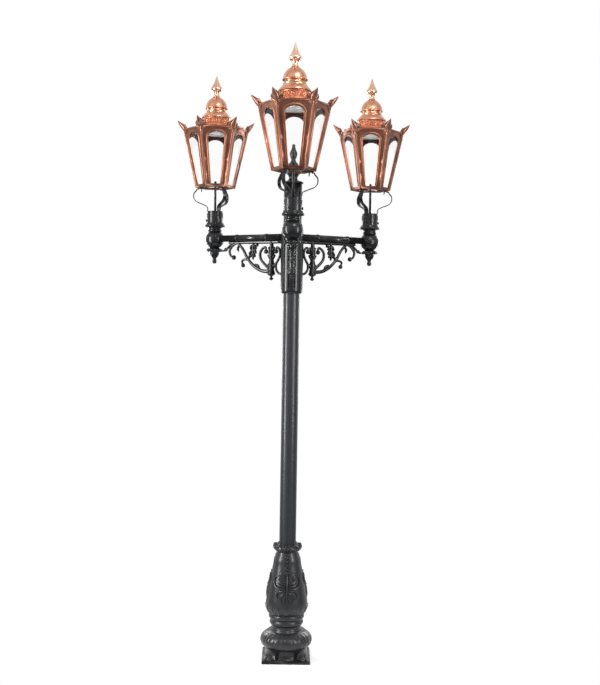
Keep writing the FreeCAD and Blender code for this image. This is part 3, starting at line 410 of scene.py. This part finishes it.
# thin leaf stalks that rise between the three faces
for line in (leaf_line([(97, 350, 10, 2), (97, 400, 18, 3), (94, 460, 14, 3), (86, 520, 5, 2)],
                       lobes=5, deep=0.4),
             smooth_line([(70, 640, 3, 1), (67, 590, 7, 2), (72, 540, 4, 1)], steps=4)):
    raise_strip(face, vase, line, groove=0.4)
vase_leaves = ring_of(face, vase_faces, base_paint, first_turn=270)

calyx = bmesh.new()
sepal = leaf_line([(0, 274, 16, 2), (0, 296, 25, 4), (0, 318, 20, 4), (0, 332, 7, 4)],
                  lobes=2, deep=0.2)
small_sepal = smooth_line([(20, 274, 12, 2), (20, 292, 14, 4), (20, 308, 5, 4)], steps=4)
raise_strip(calyx, vase, sepal, across=7, groove=0.3)
raise_strip(calyx, vase, small_sepal, groove=0.2)
raise_strip(calyx, vase, eye_line(0, 338, reach=6, tall=5))
vase_calyx = ring_of(calyx, sepal_count, base_paint)
finish_piece("vase_leaf_ornament", [vase_leaves, vase_calyx], base_paint, "post")

# ---------------------------------------------------------------- leaf collar
# The ring of curled leaves that hides the joint between base and shaft. It is a separate small
# casting that slides down the shaft and rests on the vase.

leaf_profile = [(0, 66, 668), (9, 69, 676), (19, 75, 685), (30, 81, 696), (40, 83, 706), (47, 79, 714),
                (52, 72, 718), (57, 67, 717)]
collar_leaf_count = 10

soften("leaf_collar_ring", "base_collar", base_paint, "post")
collar = round_form(leaf_profile)
collar_leaf = bmesh.new()
blade = leaf_line([(0, 0, 22, 1), (0, 18, 36, 2), (0, 36, 38, 2), (0, 49, 24, 2), (0, 56, 8, 1)],
                  lobes=2, deep=0.15)
raise_strip(collar_leaf, collar, blade, across=9, sunk=1.6)
hoop = smooth_line([(7, 8, 5, 3), (14, 16, 8, 7), (16, 29, 9, 9), (11, 41, 9, 9), (0, 46, 9, 9)],
                   steps=4)
raise_strip(collar_leaf, collar, hoop)
raise_strip(collar_leaf, collar, mirrored(hoop))
raise_strip(collar_leaf, collar, smooth_line([(0, 4, 5, 3), (0, 20, 9, 6), (0, 33, 5, 4)], steps=4))
between = bmesh.new()
short_leaf = smooth_line([(0, 0, 8, 2), (0, 16, 11, 4), (0, 27, 9, 6), (0, 34, 4, 4)], steps=4)
raise_strip(between, collar, short_leaf, sunk=1.4)
half_step = 180 / collar_leaf_count
finish_piece("collar_leaves",
             [ring_of(collar_leaf, collar_leaf_count, base_paint, first_turn=half_step),
              ring_of(between, collar_leaf_count, base_paint)],
             base_paint, "post")

# ---------------------------------------------------------------- shaft
# A plain round steel tube that stands in the base casting and carries the head. It is rolled and
# welded, and painted with the castings.

shaft_black = (0.022, 0.023, 0.027)
tube_grain = 120

shaft_paint = gloss_black("black paint on the steel shaft", shaft_black, tube_grain,
                          rough_from=0.26, rough_to=0.34)
soften("tubular_shaft", "shaft", shaft_paint, "post")

# ---------------------------------------------------------------- head casting and top finial
# The reeded iron sleeve that joins the shaft, the three arms and the short mast, with a turned
# finial screwed on top of the mast. Both are sand cast and glossier than the base.

deep_black = (0.009, 0.0095, 0.011)

head_paint = gloss_black("gloss black paint on the head castings", deep_black, cast_grain,
                         rough_from=0.18, rough_to=0.28)
soften("reeded_head", "head_casting", head_paint, "post")
soften("post_top_finial", "post_finial", head_paint, "post")

# ---------------------------------------------------------------- arms
# Three plain steel tubes with two low rings each, let into the head and welded there, that carry
# the lanterns. The rings are turned bands shrunk on to the tube.

SIDES = ("front", "right", "left")
arm_turns = {"front": 270, "right": 30, "left": 150}
arm_reach = 0.581  # in metres, as the ends below are
arm_ends = {side: (arm_reach * math.cos(math.radians(turn)),
                   arm_reach * math.sin(math.radians(turn)), 0)
            for side, turn in arm_turns.items()}
arm_paint = gloss_black("gloss black paint on the steel arms", deep_black, tube_grain,
                        rough_from=0.2, rough_to=0.27)
for side in SIDES:
    soften("arm_tube_" + side, "arm_" + side, arm_paint, "post")

# ---------------------------------------------------------------- scrolled brackets
# One cast iron bracket under each arm: rounded bars that wind into ball-ended curls round a leafy
# pendant. Each is a single casting bolted to the head and to the arm.

bracket_reach = 400
bracket_drop = 250
bracket_half_thick = 9.5
spray_half_thick = 11.5
bracket_root = 68.5
bracket_under = 2614.8
bar_fatness = 1.32
bar_corners = 10
full_bar = 14
tip_reach = 0.35
ball_depth = 1.05
BARS = [
    [(0.0, 0.0, 20), (0.0, 0.4, 20), (0.0, 0.84, 14)],
    [(0.0, 0.03, 18), (0.5, 0.03, 17), (1.0, 0.03, 12)],
    [(0.2, 0.74, 20), (0.3, 0.77, 19), (0.43, 0.72, 17), (0.555, 0.59, 16), (0.655, 0.41, 15),
     (0.725, 0.22, 14), (0.79, 0.1, 13), (0.86, 0.03, 10)],
    [(0.115, 0.26, 9), (0.105, 0.17, 11), (0.06, 0.21, 12), (0.043, 0.34, 12), (0.075, 0.48, 12),
     (0.14, 0.62, 13), (0.2, 0.71, 14)],
    [(0.3, 0.26, 9), (0.31, 0.16, 11), (0.37, 0.2, 13), (0.41, 0.31, 14), (0.395, 0.46, 14),
     (0.33, 0.58, 14), (0.24, 0.7, 16)],
    [(0.1, 0.53, 10), (0.118, 0.64, 12), (0.1, 0.76, 12), (0.05, 0.83, 12), (-0.01, 0.83, 12)],
    [(0.6, 0.5, 9), (0.68, 0.46, 11), (0.745, 0.5, 11), (0.73, 0.6, 9)],
    [(0.83, 0.03, 11), (0.92, 0.09, 13), (0.985, 0.22, 13), (0.965, 0.36, 11), (0.915, 0.4, 9)],
    [(0.9, 0.02, 12), (0.99, 0.11, 11), (1.06, 0.21, 11), (1.12, 0.235, 8)]]
BALL_EYES = [(0.118, 0.27, 15), (0.3, 0.27, 15), (0.728, 0.61, 14), (0.905, 0.405, 15),
             (1.06, 0.2, 12), (0.47, 0.1, 11), (0.2, 0.13, 13)]
PENDANT = [(0.2, 0.0, 18), (0.2, 0.2, 24), (0.2, 0.36, 34), (0.2, 0.46, 24), (0.2, 0.58, 30),
           (0.2, 0.72, 30), (0.2, 0.84, 40), (0.2, 0.885, 16), (0.2, 0.92, 12), (0.2, 0.955, 22),
           (0.2, 0.985, 12)]
LEAF_SPRAYS = [
    [(0.2, 0.5, 10), (0.165, 0.42, 13), (0.135, 0.36, 8)],
    [(0.2, 0.5, 10), (0.235, 0.42, 13), (0.265, 0.36, 8)],
    [(0.2, 0.34, 10), (0.17, 0.24, 13), (0.15, 0.16, 8)],
    [(0.2, 0.34, 10), (0.23, 0.24, 13), (0.25, 0.16, 8)],
    [(0.2, 0.74, 12), (0.165, 0.66, 13), (0.145, 0.58, 7)],
    [(0.2, 0.74, 12), (0.235, 0.66, 13), (0.255, 0.58, 7)],
    [(0.54, 0.03, 12), (0.54, 0.22, 18), (0.54, 0.46, 7)],
    [(0.54, 0.1, 8), (0.505, 0.13, 13), (0.485, 0.2, 7)],
    [(0.54, 0.1, 8), (0.575, 0.13, 13), (0.595, 0.2, 7)],
    [(0.54, 0.2, 8), (0.505, 0.24, 13), (0.488, 0.31, 7)],
    [(0.54, 0.2, 8), (0.575, 0.24, 13), (0.592, 0.31, 7)],
    [(0.54, 0.3, 8), (0.515, 0.34, 12), (0.505, 0.4, 6)],
    [(0.54, 0.3, 8), (0.565, 0.34, 12), (0.575, 0.4, 6)],
    [(0.62, 0.44, 8), (0.6, 0.36, 12), (0.61, 0.28, 6)],
    [(0.42, 0.7, 8), (0.45, 0.62, 12), (0.5, 0.58, 6)],
    [(0.8, 0.1, 8), (0.83, 0.17, 12), (0.82, 0.25, 6)]]


def round_bar(mesh, points, thick, round_all=False):
    """A closed bar of rounded section along (reach, depth, width) points of the bracket's pattern."""
    line = smooth_line([(bracket_root + reach * bracket_reach,
                         bracket_under - depth * bracket_drop, wide, 0)
                        for reach, depth, wide in points], steps=4)
    rings = []
    for count, (x, z, wide, _) in enumerate(line):
        before = line[max(count - 1, 0)]
        after = line[min(count + 1, len(line) - 1)]
        run = math.hypot(after[0] - before[0], after[1] - before[1])
        across = Vector((-(after[1] - before[1]) / run, 0, (after[0] - before[0]) / run))
        half = wide * bar_fatness / 2
        deep = half if round_all else thick * min(1, 0.5 + half / full_bar)
        ring = []
        for corner in range(bar_corners):
            angle = math.radians(360 / bar_corners * (corner + 0.5))
            ring.append(mesh.verts.new((Vector((x, 0, z)) + across * half * math.cos(angle)
                                        + Vector((0, deep * math.sin(angle), 0))) * MM))
        rings.append(ring)
    for low, high in zip(rings, rings[1:]):
        for corner in range(bar_corners):
            onward = (corner + 1) % bar_corners
            mesh.faces.new((low[corner], low[onward], high[onward], high[corner]))
    for ring, spot, near in ((rings[0], line[0], line[1]), (rings[-1], line[-1], line[-2])):
        run = math.hypot(spot[0] - near[0], spot[1] - near[1])
        out = spot[2] * tip_reach / run
        tip = mesh.verts.new(Vector((spot[0] + (spot[0] - near[0]) * out, 0,
                                     spot[1] + (spot[1] - near[1]) * out)) * MM)
        for corner in range(bar_corners):
            mesh.faces.new((ring[corner], ring[(corner + 1) % bar_corners], tip))


bracket = bmesh.new()
for points in BARS:
    round_bar(bracket, points, bracket_half_thick)
round_bar(bracket, PENDANT, bracket_half_thick, round_all=True)
for points in LEAF_SPRAYS:
    round_bar(bracket, points, spray_half_thick)
for reach, depth, radius in BALL_EYES:
    place = Matrix.Translation(Vector((bracket_root + reach * bracket_reach, 0,
                                       bracket_under - depth * bracket_drop)) * MM)
    bmesh.ops.create_uvsphere(bracket, u_segments=16, v_segments=10, radius=radius * MM,
                              matrix=place @ Matrix.Diagonal((1, ball_depth, 1, 1)))
brackets = finish_piece("scrolled_brackets",
                        [ring_of(bracket, len(SIDES), head_paint, first_turn=arm_turns["right"])],
                        head_paint, "post", sharp=60)
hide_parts("bracket_front", "bracket_right", "bracket_left")

# ---------------------------------------------------------------- balls, cups and drops
# At each arm's end an iron ball with a cup on top and a leafy drop below. The ball is bored for the
# arm and the wires, and the drop screws into it from underneath.

drop_low = 2478
drop_high = 2578
drop_leaf_count = 9
upper_leaf = [(0, 2574, 8, 1), (0, 2566, 17, 4), (0, 2558, 15, 5), (0, 2553, 6, 2)]
lower_leaf = [(0, 2550, 7, 1), (0, 2538, 15, 4), (0, 2516, 4, 2)]

for side in SIDES:
    soften("ball_and_cup_" + side, "ball_cup_" + side, head_paint, "post")
    soften("drop_under_ball_" + side, "drop_finial_" + side, head_paint, "post")
    drop_form = round_form(turned_rows("drop_finial_" + side, drop_low, drop_high, 2, arm_ends[side]))
    drop_leaf = bmesh.new()
    raise_strip(drop_leaf, drop_form, smooth_line(upper_leaf, steps=3))
    raise_strip(drop_leaf, drop_form, smooth_line(lower_leaf, steps=3), groove=0.4)
    finish_piece("drop_leaves_" + side,
                 [ring_of(drop_leaf, drop_leaf_count, head_paint, arm_ends[side])],
                 head_paint, "post")

# ---------------------------------------------------------------- frogs
# The three-legged carrier under each lantern: an iron sleeve held on the cup by three set screws,
# three bent steel strips that spread to the lantern's floor, and the conduit for the wires.

zinc_steel = new_finish("zinc plated steel", Base_Color=(0.55, 0.56, 0.57, 1),
                        Metallic=1, Roughness=0.35)[0]
sleeve_rows = [(2738, 51, 2738), (2809, 51, 2809)]
sleeve_rib = [(0, 2764, 3, 0.8), (0, 2780, 5, 1.8), (0, 2796, 5, 1.8), (0, 2804, 3, 0.8)]
sleeve_rib_count = 18

soften("lantern_foot_studs", "foot_studs", zinc_steel, "post")
soften("frog_set_screws", "frog_screws", arm_paint, "post")
for side in SIDES:
    soften("frog_sleeve_black_" + side, "frog_sleeve_" + side, head_paint, "post")
    soften("frog_three_legs_" + side, "frog_legs_" + side, arm_paint, "post")
    soften("wire_conduit_" + side, "conduit_" + side, arm_paint, "post")
    one_rib = bmesh.new()
    raise_strip(one_rib, round_form(sleeve_rows), smooth_line(sleeve_rib, steps=2))
    finish_piece("sleeve_ribs_" + side,
                 [ring_of(one_rib, sleeve_rib_count, head_paint, arm_ends[side])],
                 head_paint, "post")

# ---------------------------------------------------------------- lantern cases
# The six-sided body of each lantern: sheet copper cut out for six arched panes, folded along
# rolled corner beads and soldered to a floor with a round hole. A flat strip frames each pane.

lantern_turns = {"front": 0, "right": 115, "left": 245}
lantern_sides = 6
case_level = 2964
case_rows = [(0, 107.4), (338, 172.6)]
sheet_sunk = 0.6
wear_size = 30
hammer_size = 38
edge_lines = ([(0, 2.5, 3, 1), (40, 2.5, 4, 1.5), (61, 2.5, 3, 1)],
              [(60.5, 2, 2, 1), (78.5, 160, 2.2, 1.5), (97.5, 336, 2.2, 1.5)])
pane_edge = [(35.5, 20, 12, 2), (47.5, 160, 12, 2), (57.5, 285, 12, 2), (58.5, 312, 14, 2),
             (42, 333, 16, 2), (18, 343, 15, 2), (-2, 345, 14, 2)]


def warm_copper(name, bright, brown, patch, rough_from, rough_to, dent=0.0012, metal=1.0):
    """Lacquered sheet copper, browner in places, with the light unevenness of beaten sheet."""
    copper, tree, shader = new_finish(name, Metallic=metal)
    blend = colour_blend(tree, bright, brown)
    tree.links.new(uneven(tree, patch, low=0.0, high=1.0), blend.inputs["Factor"])
    tree.links.new(blend.outputs["Result"], shader.inputs["Base Color"])
    tree.links.new(uneven(tree, wear_size, low=rough_from, high=rough_to), shader.inputs["Roughness"])
    dented(tree, shader, hammer_size, depth=dent, strength=0.35)
    return copper


case_copper = warm_copper("sheet copper of the lantern case", (0.36, 0.155, 0.10), (0.17, 0.068, 0.045),
                          patch=8, rough_from=0.32, rough_to=0.42, dent=0.0004)
bead_copper = warm_copper("rolled copper bead", (0.40, 0.18, 0.12), (0.26, 0.11, 0.07),
                          patch=14, rough_from=0.34, rough_to=0.44, dent=0.0002)
clear_glass = new_finish("clear lantern glass", Base_Color=(0.985, 0.99, 0.985, 1),
                         Transmission_Weight=1, Roughness=0.01, IOR=1.2)[0]


def flat_form(rows):
    """Places (distance across, height, lift) on one sloping face given by rows of (height, apothem)."""
    heights = [row[0] for row in rows]

    def spot(across, height, lift):
        first = min(max(bisect.bisect_right(heights, height) - 1, 0), len(heights) - 2)
        (low, near), (high, far) = rows[first], rows[first + 1]
        out = near + (far - near) * (height - low) / (high - low)
        run = math.hypot(far - near, high - low)
        return Vector((across, -out - lift * (high - low) / run,
                       case_level + height - lift * (far - near) / run)) * MM

    return spot


def flat_strips(lines, form):
    """Each line and its mirror image, laid as low strips on one flat face."""
    mesh = bmesh.new()
    for line in lines:
        raise_strip(mesh, form, line, sunk=sheet_sunk)
        raise_strip(mesh, form, mirrored(line), sunk=sheet_sunk)
    return mesh


def round_lantern(name, mesh, material, side, sharp=40):
    """The same trim on all sides of one lantern, as one piece on the post."""
    finish_piece(name + side,
                 [ring_of(mesh, lantern_sides, material, arm_ends[side], lantern_turns[side])],
                 material, "post", sharp=sharp)


case_face = flat_form(case_rows)
for side in SIDES:
    soften("copper_case_" + side, "lantern_case_" + side, case_copper, "post")
    soften("six_panes_" + side, "glass_panes_" + side, clear_glass, "post")
    soften("floor_pane_" + side, "glass_floor_" + side, clear_glass, "post")
    soften("hinge_rod_" + side, "hinge_pin_" + side, case_copper, "post")
    edges = flat_strips([smooth_line(bead, steps=4) for bead in edge_lines], case_face)
    round_lantern("case_edge_beads_", edges, bead_copper, side)
    frames = flat_strips([smooth_line(pane_edge, steps=4)], case_face)
    round_lantern("pane_frames_", frames, case_copper, side)

# ---------------------------------------------------------------- crowns
# The pierced and embossed copper strip round the top of each case, bent out into six pointed ears.
# It is stamped with scrolls, folded at the corners and soldered to the case.

curl_step = 24
curl_taper = 0.35
horn_corners = 12
horn_sunk = 0.6
horn_ridge = 1.25


def curl_line(u, v, outer, inner, first, turns, wide, tall):
    """The line of a scroll that winds in towards its eye; its turns and first angle are in degrees."""
    steps = max(int(abs(turns) / curl_step), 4)
    line = []
    for count in range(steps + 1):
        share = count / steps
        reach = outer * (inner / outer) ** share
        angle = math.radians(first + turns * share)
        line.append((u + reach * math.cos(angle), v + reach * math.sin(angle),
                     wide * (1 - curl_taper * share), tall))
    return line


crown_copper = warm_copper("embossed copper of the crown", (0.44, 0.22, 0.155), (0.24, 0.11, 0.075),
                           patch=14, rough_from=0.34, rough_to=0.44, dent=0.0006)
crown_rows = [(330, 173.9), (338, 175.2), (370, 181.3), (384.5, 185.4), (399, 191.5),
              (413.5, 201.0), (428, 215.2)]
crown_face = flat_form(crown_rows)
EAR_LINES = [
    curl_line(72, 387, outer=12, inner=4, first=250, turns=-430, wide=5, tall=4),
    eye_line(72, 387, reach=3.6, tall=4),
    smooth_line([(68, 375, 3, 2), (80, 374, 6, 3), (94, 384, 7, 4), (102, 398, 6, 4), (110, 412, 5, 3),
                 (117, 422, 3, 2)], steps=3),
    smooth_line([(82, 398, 3, 2), (93, 404, 5, 3), (104, 414, 3, 2)], steps=3),
    smooth_line([(97, 372, 3, 2), (99, 356, 7, 3), (95, 343, 3, 2)], steps=3),
    curl_line(86, 358, outer=8, inner=3, first=60, turns=330, wide=4, tall=3),
    smooth_line([(62, 366.5, 4, 1.5), (70, 364, 5, 2), (75, 354, 5, 2), (86, 342, 5, 2),
                 (94, 339, 4, 1.5)], steps=3)]
HORN = [(200, 362, 6, 10), (209, 374, 11, 18), (219, 388, 12, 20), (229, 401, 10, 16),
        (238, 412, 7, 11), (244, 420, 4, 6), (247, 425, 1.5, 2.5)]
lip = smooth_line([(-64, 367.5, 4, 1.5), (0, 367.5, 5, 2.5), (64, 367.5, 4, 1.5)], steps=4)


def horn(mesh):
    """The fold at an ear's corner: a closed horn along rows of (radius, height, depth, half width)."""
    rings = []
    for count, (radius, height, deep, half) in enumerate(HORN):
        before = HORN[max(count - 1, 0)]
        after = HORN[min(count + 1, len(HORN) - 1)]
        run = math.hypot(after[0] - before[0], after[1] - before[1])
        out = Vector((after[1] - before[1], 0, before[0] - after[0])) / run
        ring = []
        for corner in range(horn_corners):
            angle = math.radians(360 / horn_corners * corner)
            ridge = horn_ridge if corner == 0 else 1
            ring.append(mesh.verts.new((Vector((radius - deep * horn_sunk, 0, case_level + height))
                                        + out * deep * ridge * math.cos(angle)
                                        + Vector((0, half * math.sin(angle), 0))) * MM))
        rings.append(ring)
    for low, high in zip(rings, rings[1:]):
        for corner in range(horn_corners):
            onward = (corner + 1) % horn_corners
            mesh.faces.new((low[corner], low[onward], high[onward], high[corner]))
    mesh.faces.new(rings[0])
    mesh.faces.new(rings[-1][::-1])


for side in SIDES:
    soften("copper_crown_" + side, "crown_" + side, crown_copper, "post")
    ears = flat_strips(EAR_LINES, crown_face)
    raise_strip(ears, crown_face, lip, sunk=sheet_sunk)
    round_lantern("crown_scrolls_", ears, bead_copper, side)
    fold = bmesh.new()
    horn(fold)
    round_lantern("crown_ear_folds_", fold, crown_copper, side, sharp=50)

# ---------------------------------------------------------------- hinged roofs, vent caps and spears
# The lid of each lantern: a low six-sided roof with an embossed drum, a spun bell-shaped vent cap
# and a spun spear, soldered together. It swings up on the pin at the side towards the post.

cap_copper = warm_copper("spun copper of the vent cap", (0.78, 0.42, 0.27), (0.54, 0.24, 0.15),
                         patch=7, rough_from=0.26, rough_to=0.34, dent=0.0002)
spear_copper = warm_copper("lacquered copper of the spear", (0.90, 0.62, 0.46), (0.72, 0.42, 0.29),
                           patch=9, rough_from=0.24, rough_to=0.32, dent=0.0003)
drum_copper = warm_copper("embossed copper of the drum", (0.93, 0.48, 0.31), (0.70, 0.32, 0.19),
                          patch=20, rough_from=0.34, rough_to=0.46, metal=0.75)
drum_low = 3358
drum_high = 3414
drum_radius = 80
drum_middle = 3388
band_heights = (drum_low + 8, drum_high - 4)
band_thick = 2.2
band_steps = 48
band_corners = 8
whorl_count = 12
whorl_stem = [(12, 3372, 3, 3), (20, 3378, 8, 5), (23, 3392, 8, 5), (19, 3406, 3, 3)]


def rolled_ring(mesh, radius, height, thick, centre):
    """A plain rolled ring round a turned piece, in mm about a centre in metres."""
    rings = []
    for count in range(band_steps):
        turn = 2 * math.pi * count / band_steps
        ring = []
        for corner in range(band_corners):
            angle = 2 * math.pi * corner / band_corners
            reach = radius + thick * math.cos(angle)
            spot = Vector((reach * math.cos(turn), reach * math.sin(turn),
                           height + thick * math.sin(angle))) * MM
            ring.append(mesh.verts.new(spot + Vector(centre)))
        rings.append(ring)
    for count, ring in enumerate(rings):
        onward = rings[(count + 1) % band_steps]
        for corner in range(band_corners):
            near = (corner + 1) % band_corners
            mesh.faces.new((ring[corner], ring[near], onward[near], onward[corner]))


drum = round_form([(drum_low, drum_radius, drum_low), (drum_high, drum_radius, drum_high)])
for side in SIDES:
    lid = "lid_" + side
    soften("hinged_roof_" + side, "roof_" + side, drum_copper, lid)
    soften("vent_cap_bell_" + side, "vent_cap_" + side, cap_copper, lid)
    soften("spear_tip_" + side, "spear_finial_" + side, spear_copper, lid)
    whorl = bmesh.new()
    raise_strip(whorl, drum, curl_line(0, drum_middle, outer=15, inner=4, first=200, turns=-480,
                                       wide=7, tall=6))
    raise_strip(whorl, drum, eye_line(0, drum_middle, reach=4.5, tall=6))
    raise_strip(whorl, drum, smooth_line(whorl_stem, steps=3))
    bands = bmesh.new()
    for height in band_heights:
        rolled_ring(bands, drum_radius, height, band_thick, arm_ends[side])
    finish_piece("drum_whorls_" + side,
                 [ring_of(whorl, whorl_count, drum_copper, arm_ends[side]), bands],
                 drum_copper, lid)

# ---------------------------------------------------------------- reflectors and lamps
# Inside each lid a white enamelled steel disc hides the roof, and a flat LED lamp with an opal cover
# sits in its middle on a short stem.

white_enamel = new_finish("white enamel", Base_Color=(0.8, 0.8, 0.79, 1), Roughness=0.35)[0]
opal_cover = new_finish("opal lamp cover", Base_Color=(0.86, 0.86, 0.84, 1), Roughness=0.4)[0]

for side in SIDES:
    lid = "lid_" + side
    soften("white_reflector_" + side, "reflector_" + side, white_enamel, lid)
    soften("led_disc_lamp_" + side, "led_lamp_" + side, opal_cover, lid)

# ---------------------------------------------------------------- floor, light and camera
# A plain white studio: a pale floor that keeps the post's soft shadow and runs out into white, a
# white surround, soft boxes at the sides, above and behind, and the camera above eye height.

floor_reach = 1.6
floor_sunk = 0.0005
floor_glow_low = 0.3
fade_from, fade_to = 0.16, 1.0
plain_light = 0.45
roof_from = 0.5
roof_share = 0.35
wall_dark, wall_bright = 0.2, 1.0
floor_mesh = bmesh.new()
bmesh.ops.create_circle(floor_mesh, cap_ends=True, segments=64, radius=floor_reach)
floor_data = bpy.data.meshes.new("studio_floor")
floor_mesh.to_mesh(floor_data)
floor_mesh.free()
studio_floor = bpy.data.objects.new("studio_floor", floor_data)
studio_floor.location = (0, 0, -floor_sunk)
bpy.context.scene.collection.objects.link(studio_floor)
floor_white, floor_tree, floor_shader = new_finish(
    "white studio floor", Base_Color=(0.93, 0.93, 0.93, 1), Roughness=0.9, Specular_IOR_Level=0,
    Emission_Color=(1, 1, 1, 1), Emission_Strength=floor_glow_low)
floor_spot = floor_tree.nodes.new("ShaderNodeTexCoord")
floor_away = floor_tree.nodes.new("ShaderNodeVectorMath")
floor_away.operation = "LENGTH"
floor_fade = add_node(floor_tree, "ShaderNodeMapRange", From_Min=fade_from, From_Max=fade_to)
floor_fade.interpolation_type = "SMOOTHSTEP"
floor_glow = add_node(floor_tree, "ShaderNodeEmission", Color=(1, 1, 1, 1), Strength=1.0)
floor_mix = floor_tree.nodes.new("ShaderNodeMixShader")
floor_out = floor_tree.nodes["Material Output"]
floor_tree.links.new(floor_spot.outputs["Object"], floor_away.inputs[0])
floor_tree.links.new(floor_away.outputs["Value"], floor_fade.inputs["Value"])
floor_tree.links.new(floor_fade.outputs["Result"], floor_mix.inputs["Fac"])
floor_tree.links.new(floor_shader.outputs["BSDF"], floor_mix.inputs[1])
floor_tree.links.new(floor_glow.outputs["Emission"], floor_mix.inputs[2])
floor_tree.links.new(floor_mix.outputs["Shader"], floor_out.inputs["Surface"])
floor_data.materials.append(floor_white)

surround = bpy.data.worlds.new("white surround")
bpy.context.scene.world = surround
surround.use_nodes = True
sky_tree = surround.node_tree
sky_plain = sky_tree.nodes["Background"]
sky_plain.inputs["Color"].default_value = (1, 1, 1, 1)
sky_plain.inputs["Strength"].default_value = plain_light
sky_white = add_node(sky_tree, "ShaderNodeBackground", Color=(1, 1, 1, 1), Strength=1.0)
sky_metal = add_node(sky_tree, "ShaderNodeBackground", Color=(1, 1, 1, 1))
# metal mirrors a room with white corners and ceiling and darker walls between the corners
sky_way = sky_tree.nodes.new("ShaderNodeTexCoord")
sky_parts = sky_tree.nodes.new("ShaderNodeSeparateXYZ")
sky_walls = math_node(sky_tree, "MULTIPLY")
sky_both = math_node(sky_tree, "ABSOLUTE")
sky_low = add_node(sky_tree, "ShaderNodeMapRange", From_Min=-0.3, From_Max=0.1)
sky_roof = math_node(sky_tree, "MAXIMUM")
sky_roof.inputs[1].default_value = roof_from
sky_open = math_node(sky_tree, "MULTIPLY")
sky_sum = math_node(sky_tree, "MULTIPLY_ADD")
sky_sum.inputs[1].default_value = roof_share
sky_shade = add_node(sky_tree, "ShaderNodeMapRange", From_Min=0.12, From_Max=0.48,
                     To_Min=wall_dark, To_Max=wall_bright)
sky_shade.interpolation_type = "SMOOTHSTEP"
# the camera and the panes see plain white, and everything else a dimmer white
sky_ray = sky_tree.nodes.new("ShaderNodeLightPath")
sky_seen = math_node(sky_tree, "MAXIMUM")
sky_mix = sky_tree.nodes.new("ShaderNodeMixShader")
sky_mix_metal = sky_tree.nodes.new("ShaderNodeMixShader")
join = sky_tree.links.new
join(sky_way.outputs["Generated"], sky_parts.inputs["Vector"])
join(sky_parts.outputs["X"], sky_walls.inputs[0])
join(sky_parts.outputs["Y"], sky_walls.inputs[1])
join(sky_walls.outputs["Value"], sky_both.inputs[0])
join(sky_parts.outputs["Z"], sky_roof.inputs[0])
join(sky_roof.outputs["Value"], sky_sum.inputs[0])
join(sky_parts.outputs["Z"], sky_low.inputs["Value"])
join(sky_both.outputs["Value"], sky_open.inputs[0])
join(sky_low.outputs["Result"], sky_open.inputs[1])
join(sky_open.outputs["Value"], sky_sum.inputs[2])
join(sky_sum.outputs["Value"], sky_shade.inputs["Value"])
join(sky_shade.outputs["Result"], sky_metal.inputs["Strength"])
join(sky_ray.outputs["Is Camera Ray"], sky_seen.inputs[0])
join(sky_ray.outputs["Is Transmission Ray"], sky_seen.inputs[1])
join(sky_ray.outputs["Is Glossy Ray"], sky_mix_metal.inputs["Fac"])
join(sky_plain.outputs["Background"], sky_mix_metal.inputs[1])
join(sky_metal.outputs["Background"], sky_mix_metal.inputs[2])
join(sky_seen.outputs["Value"], sky_mix.inputs["Fac"])
join(sky_mix_metal.outputs["Shader"], sky_mix.inputs[1])
join(sky_white.outputs["Background"], sky_mix.inputs[2])
join(sky_mix.outputs["Shader"], sky_tree.nodes["World Output"].inputs["Surface"])


def soft_box(name, spot, aim, wide, tall, watts):
    """A soft lamp with a long window, turned towards the post."""
    lamp = bpy.data.lights.new(name, "AREA")
    lamp.shape = "RECTANGLE"
    lamp.size = wide
    lamp.size_y = tall
    lamp.energy = watts
    box = bpy.data.objects.new(name, lamp)
    box.location = spot
    box.rotation_euler = (Vector(aim) - Vector(spot)).to_track_quat("-Z", "Y").to_euler()
    bpy.context.scene.collection.objects.link(box)


soft_box("left_soft_box", spot=(-2.9, -1.3, 2.3), aim=(0, 0, 1.9), wide=0.45, tall=3.0, watts=125)
soft_box("right_soft_box", spot=(2.45, -2.2, 2.3), aim=(0, 0, 1.9), wide=0.35, tall=2.4, watts=52)
soft_box("high_soft_box", spot=(0.9, -2.6, 5.0), aim=(0, 0, 2.6), wide=1.2, tall=0.35, watts=42)
soft_box("rear_left_soft_box", spot=(-1.9, 2.8, 2.6), aim=(0, 0, 2.0), wide=0.3, tall=2.4, watts=40)
soft_box("rear_right_soft_box", spot=(2.1, 2.8, 2.6), aim=(0, 0, 2.0), wide=0.3, tall=2.4, watts=30)

film_wide = 36
lens_long = 55.587
camera_spot = (-0.019, -6.6, 2.142)
look_down = math.radians(1.419)
look_right = math.radians(0.67)
lean = math.radians(0.9)
view_right = Vector((math.cos(look_right), -math.sin(look_right), 0))
level_ahead = Vector((math.sin(look_right), math.cos(look_right), 0))
view_ahead = level_ahead * math.cos(look_down) - Vector((0, 0, math.sin(look_down)))
view_up = level_ahead * math.sin(look_down) + Vector((0, 0, math.cos(look_down)))
leaned_right = view_right * math.cos(lean) + view_up * math.sin(lean)
leaned_up = view_up * math.cos(lean) - view_right * math.sin(lean)
camera = bpy.data.objects.new("photo_camera", bpy.data.cameras.new("photo_camera"))
camera.data.sensor_width = film_wide
camera.data.lens = lens_long
camera.matrix_world = Matrix.Translation(camera_spot) @ Matrix(
    (leaned_right, leaned_up, -view_ahead)).transposed().to_4x4()
bpy.context.scene.collection.objects.link(camera)
bpy.context.scene.camera = camera

bpy.context.scene.view_settings.view_transform = "Standard"
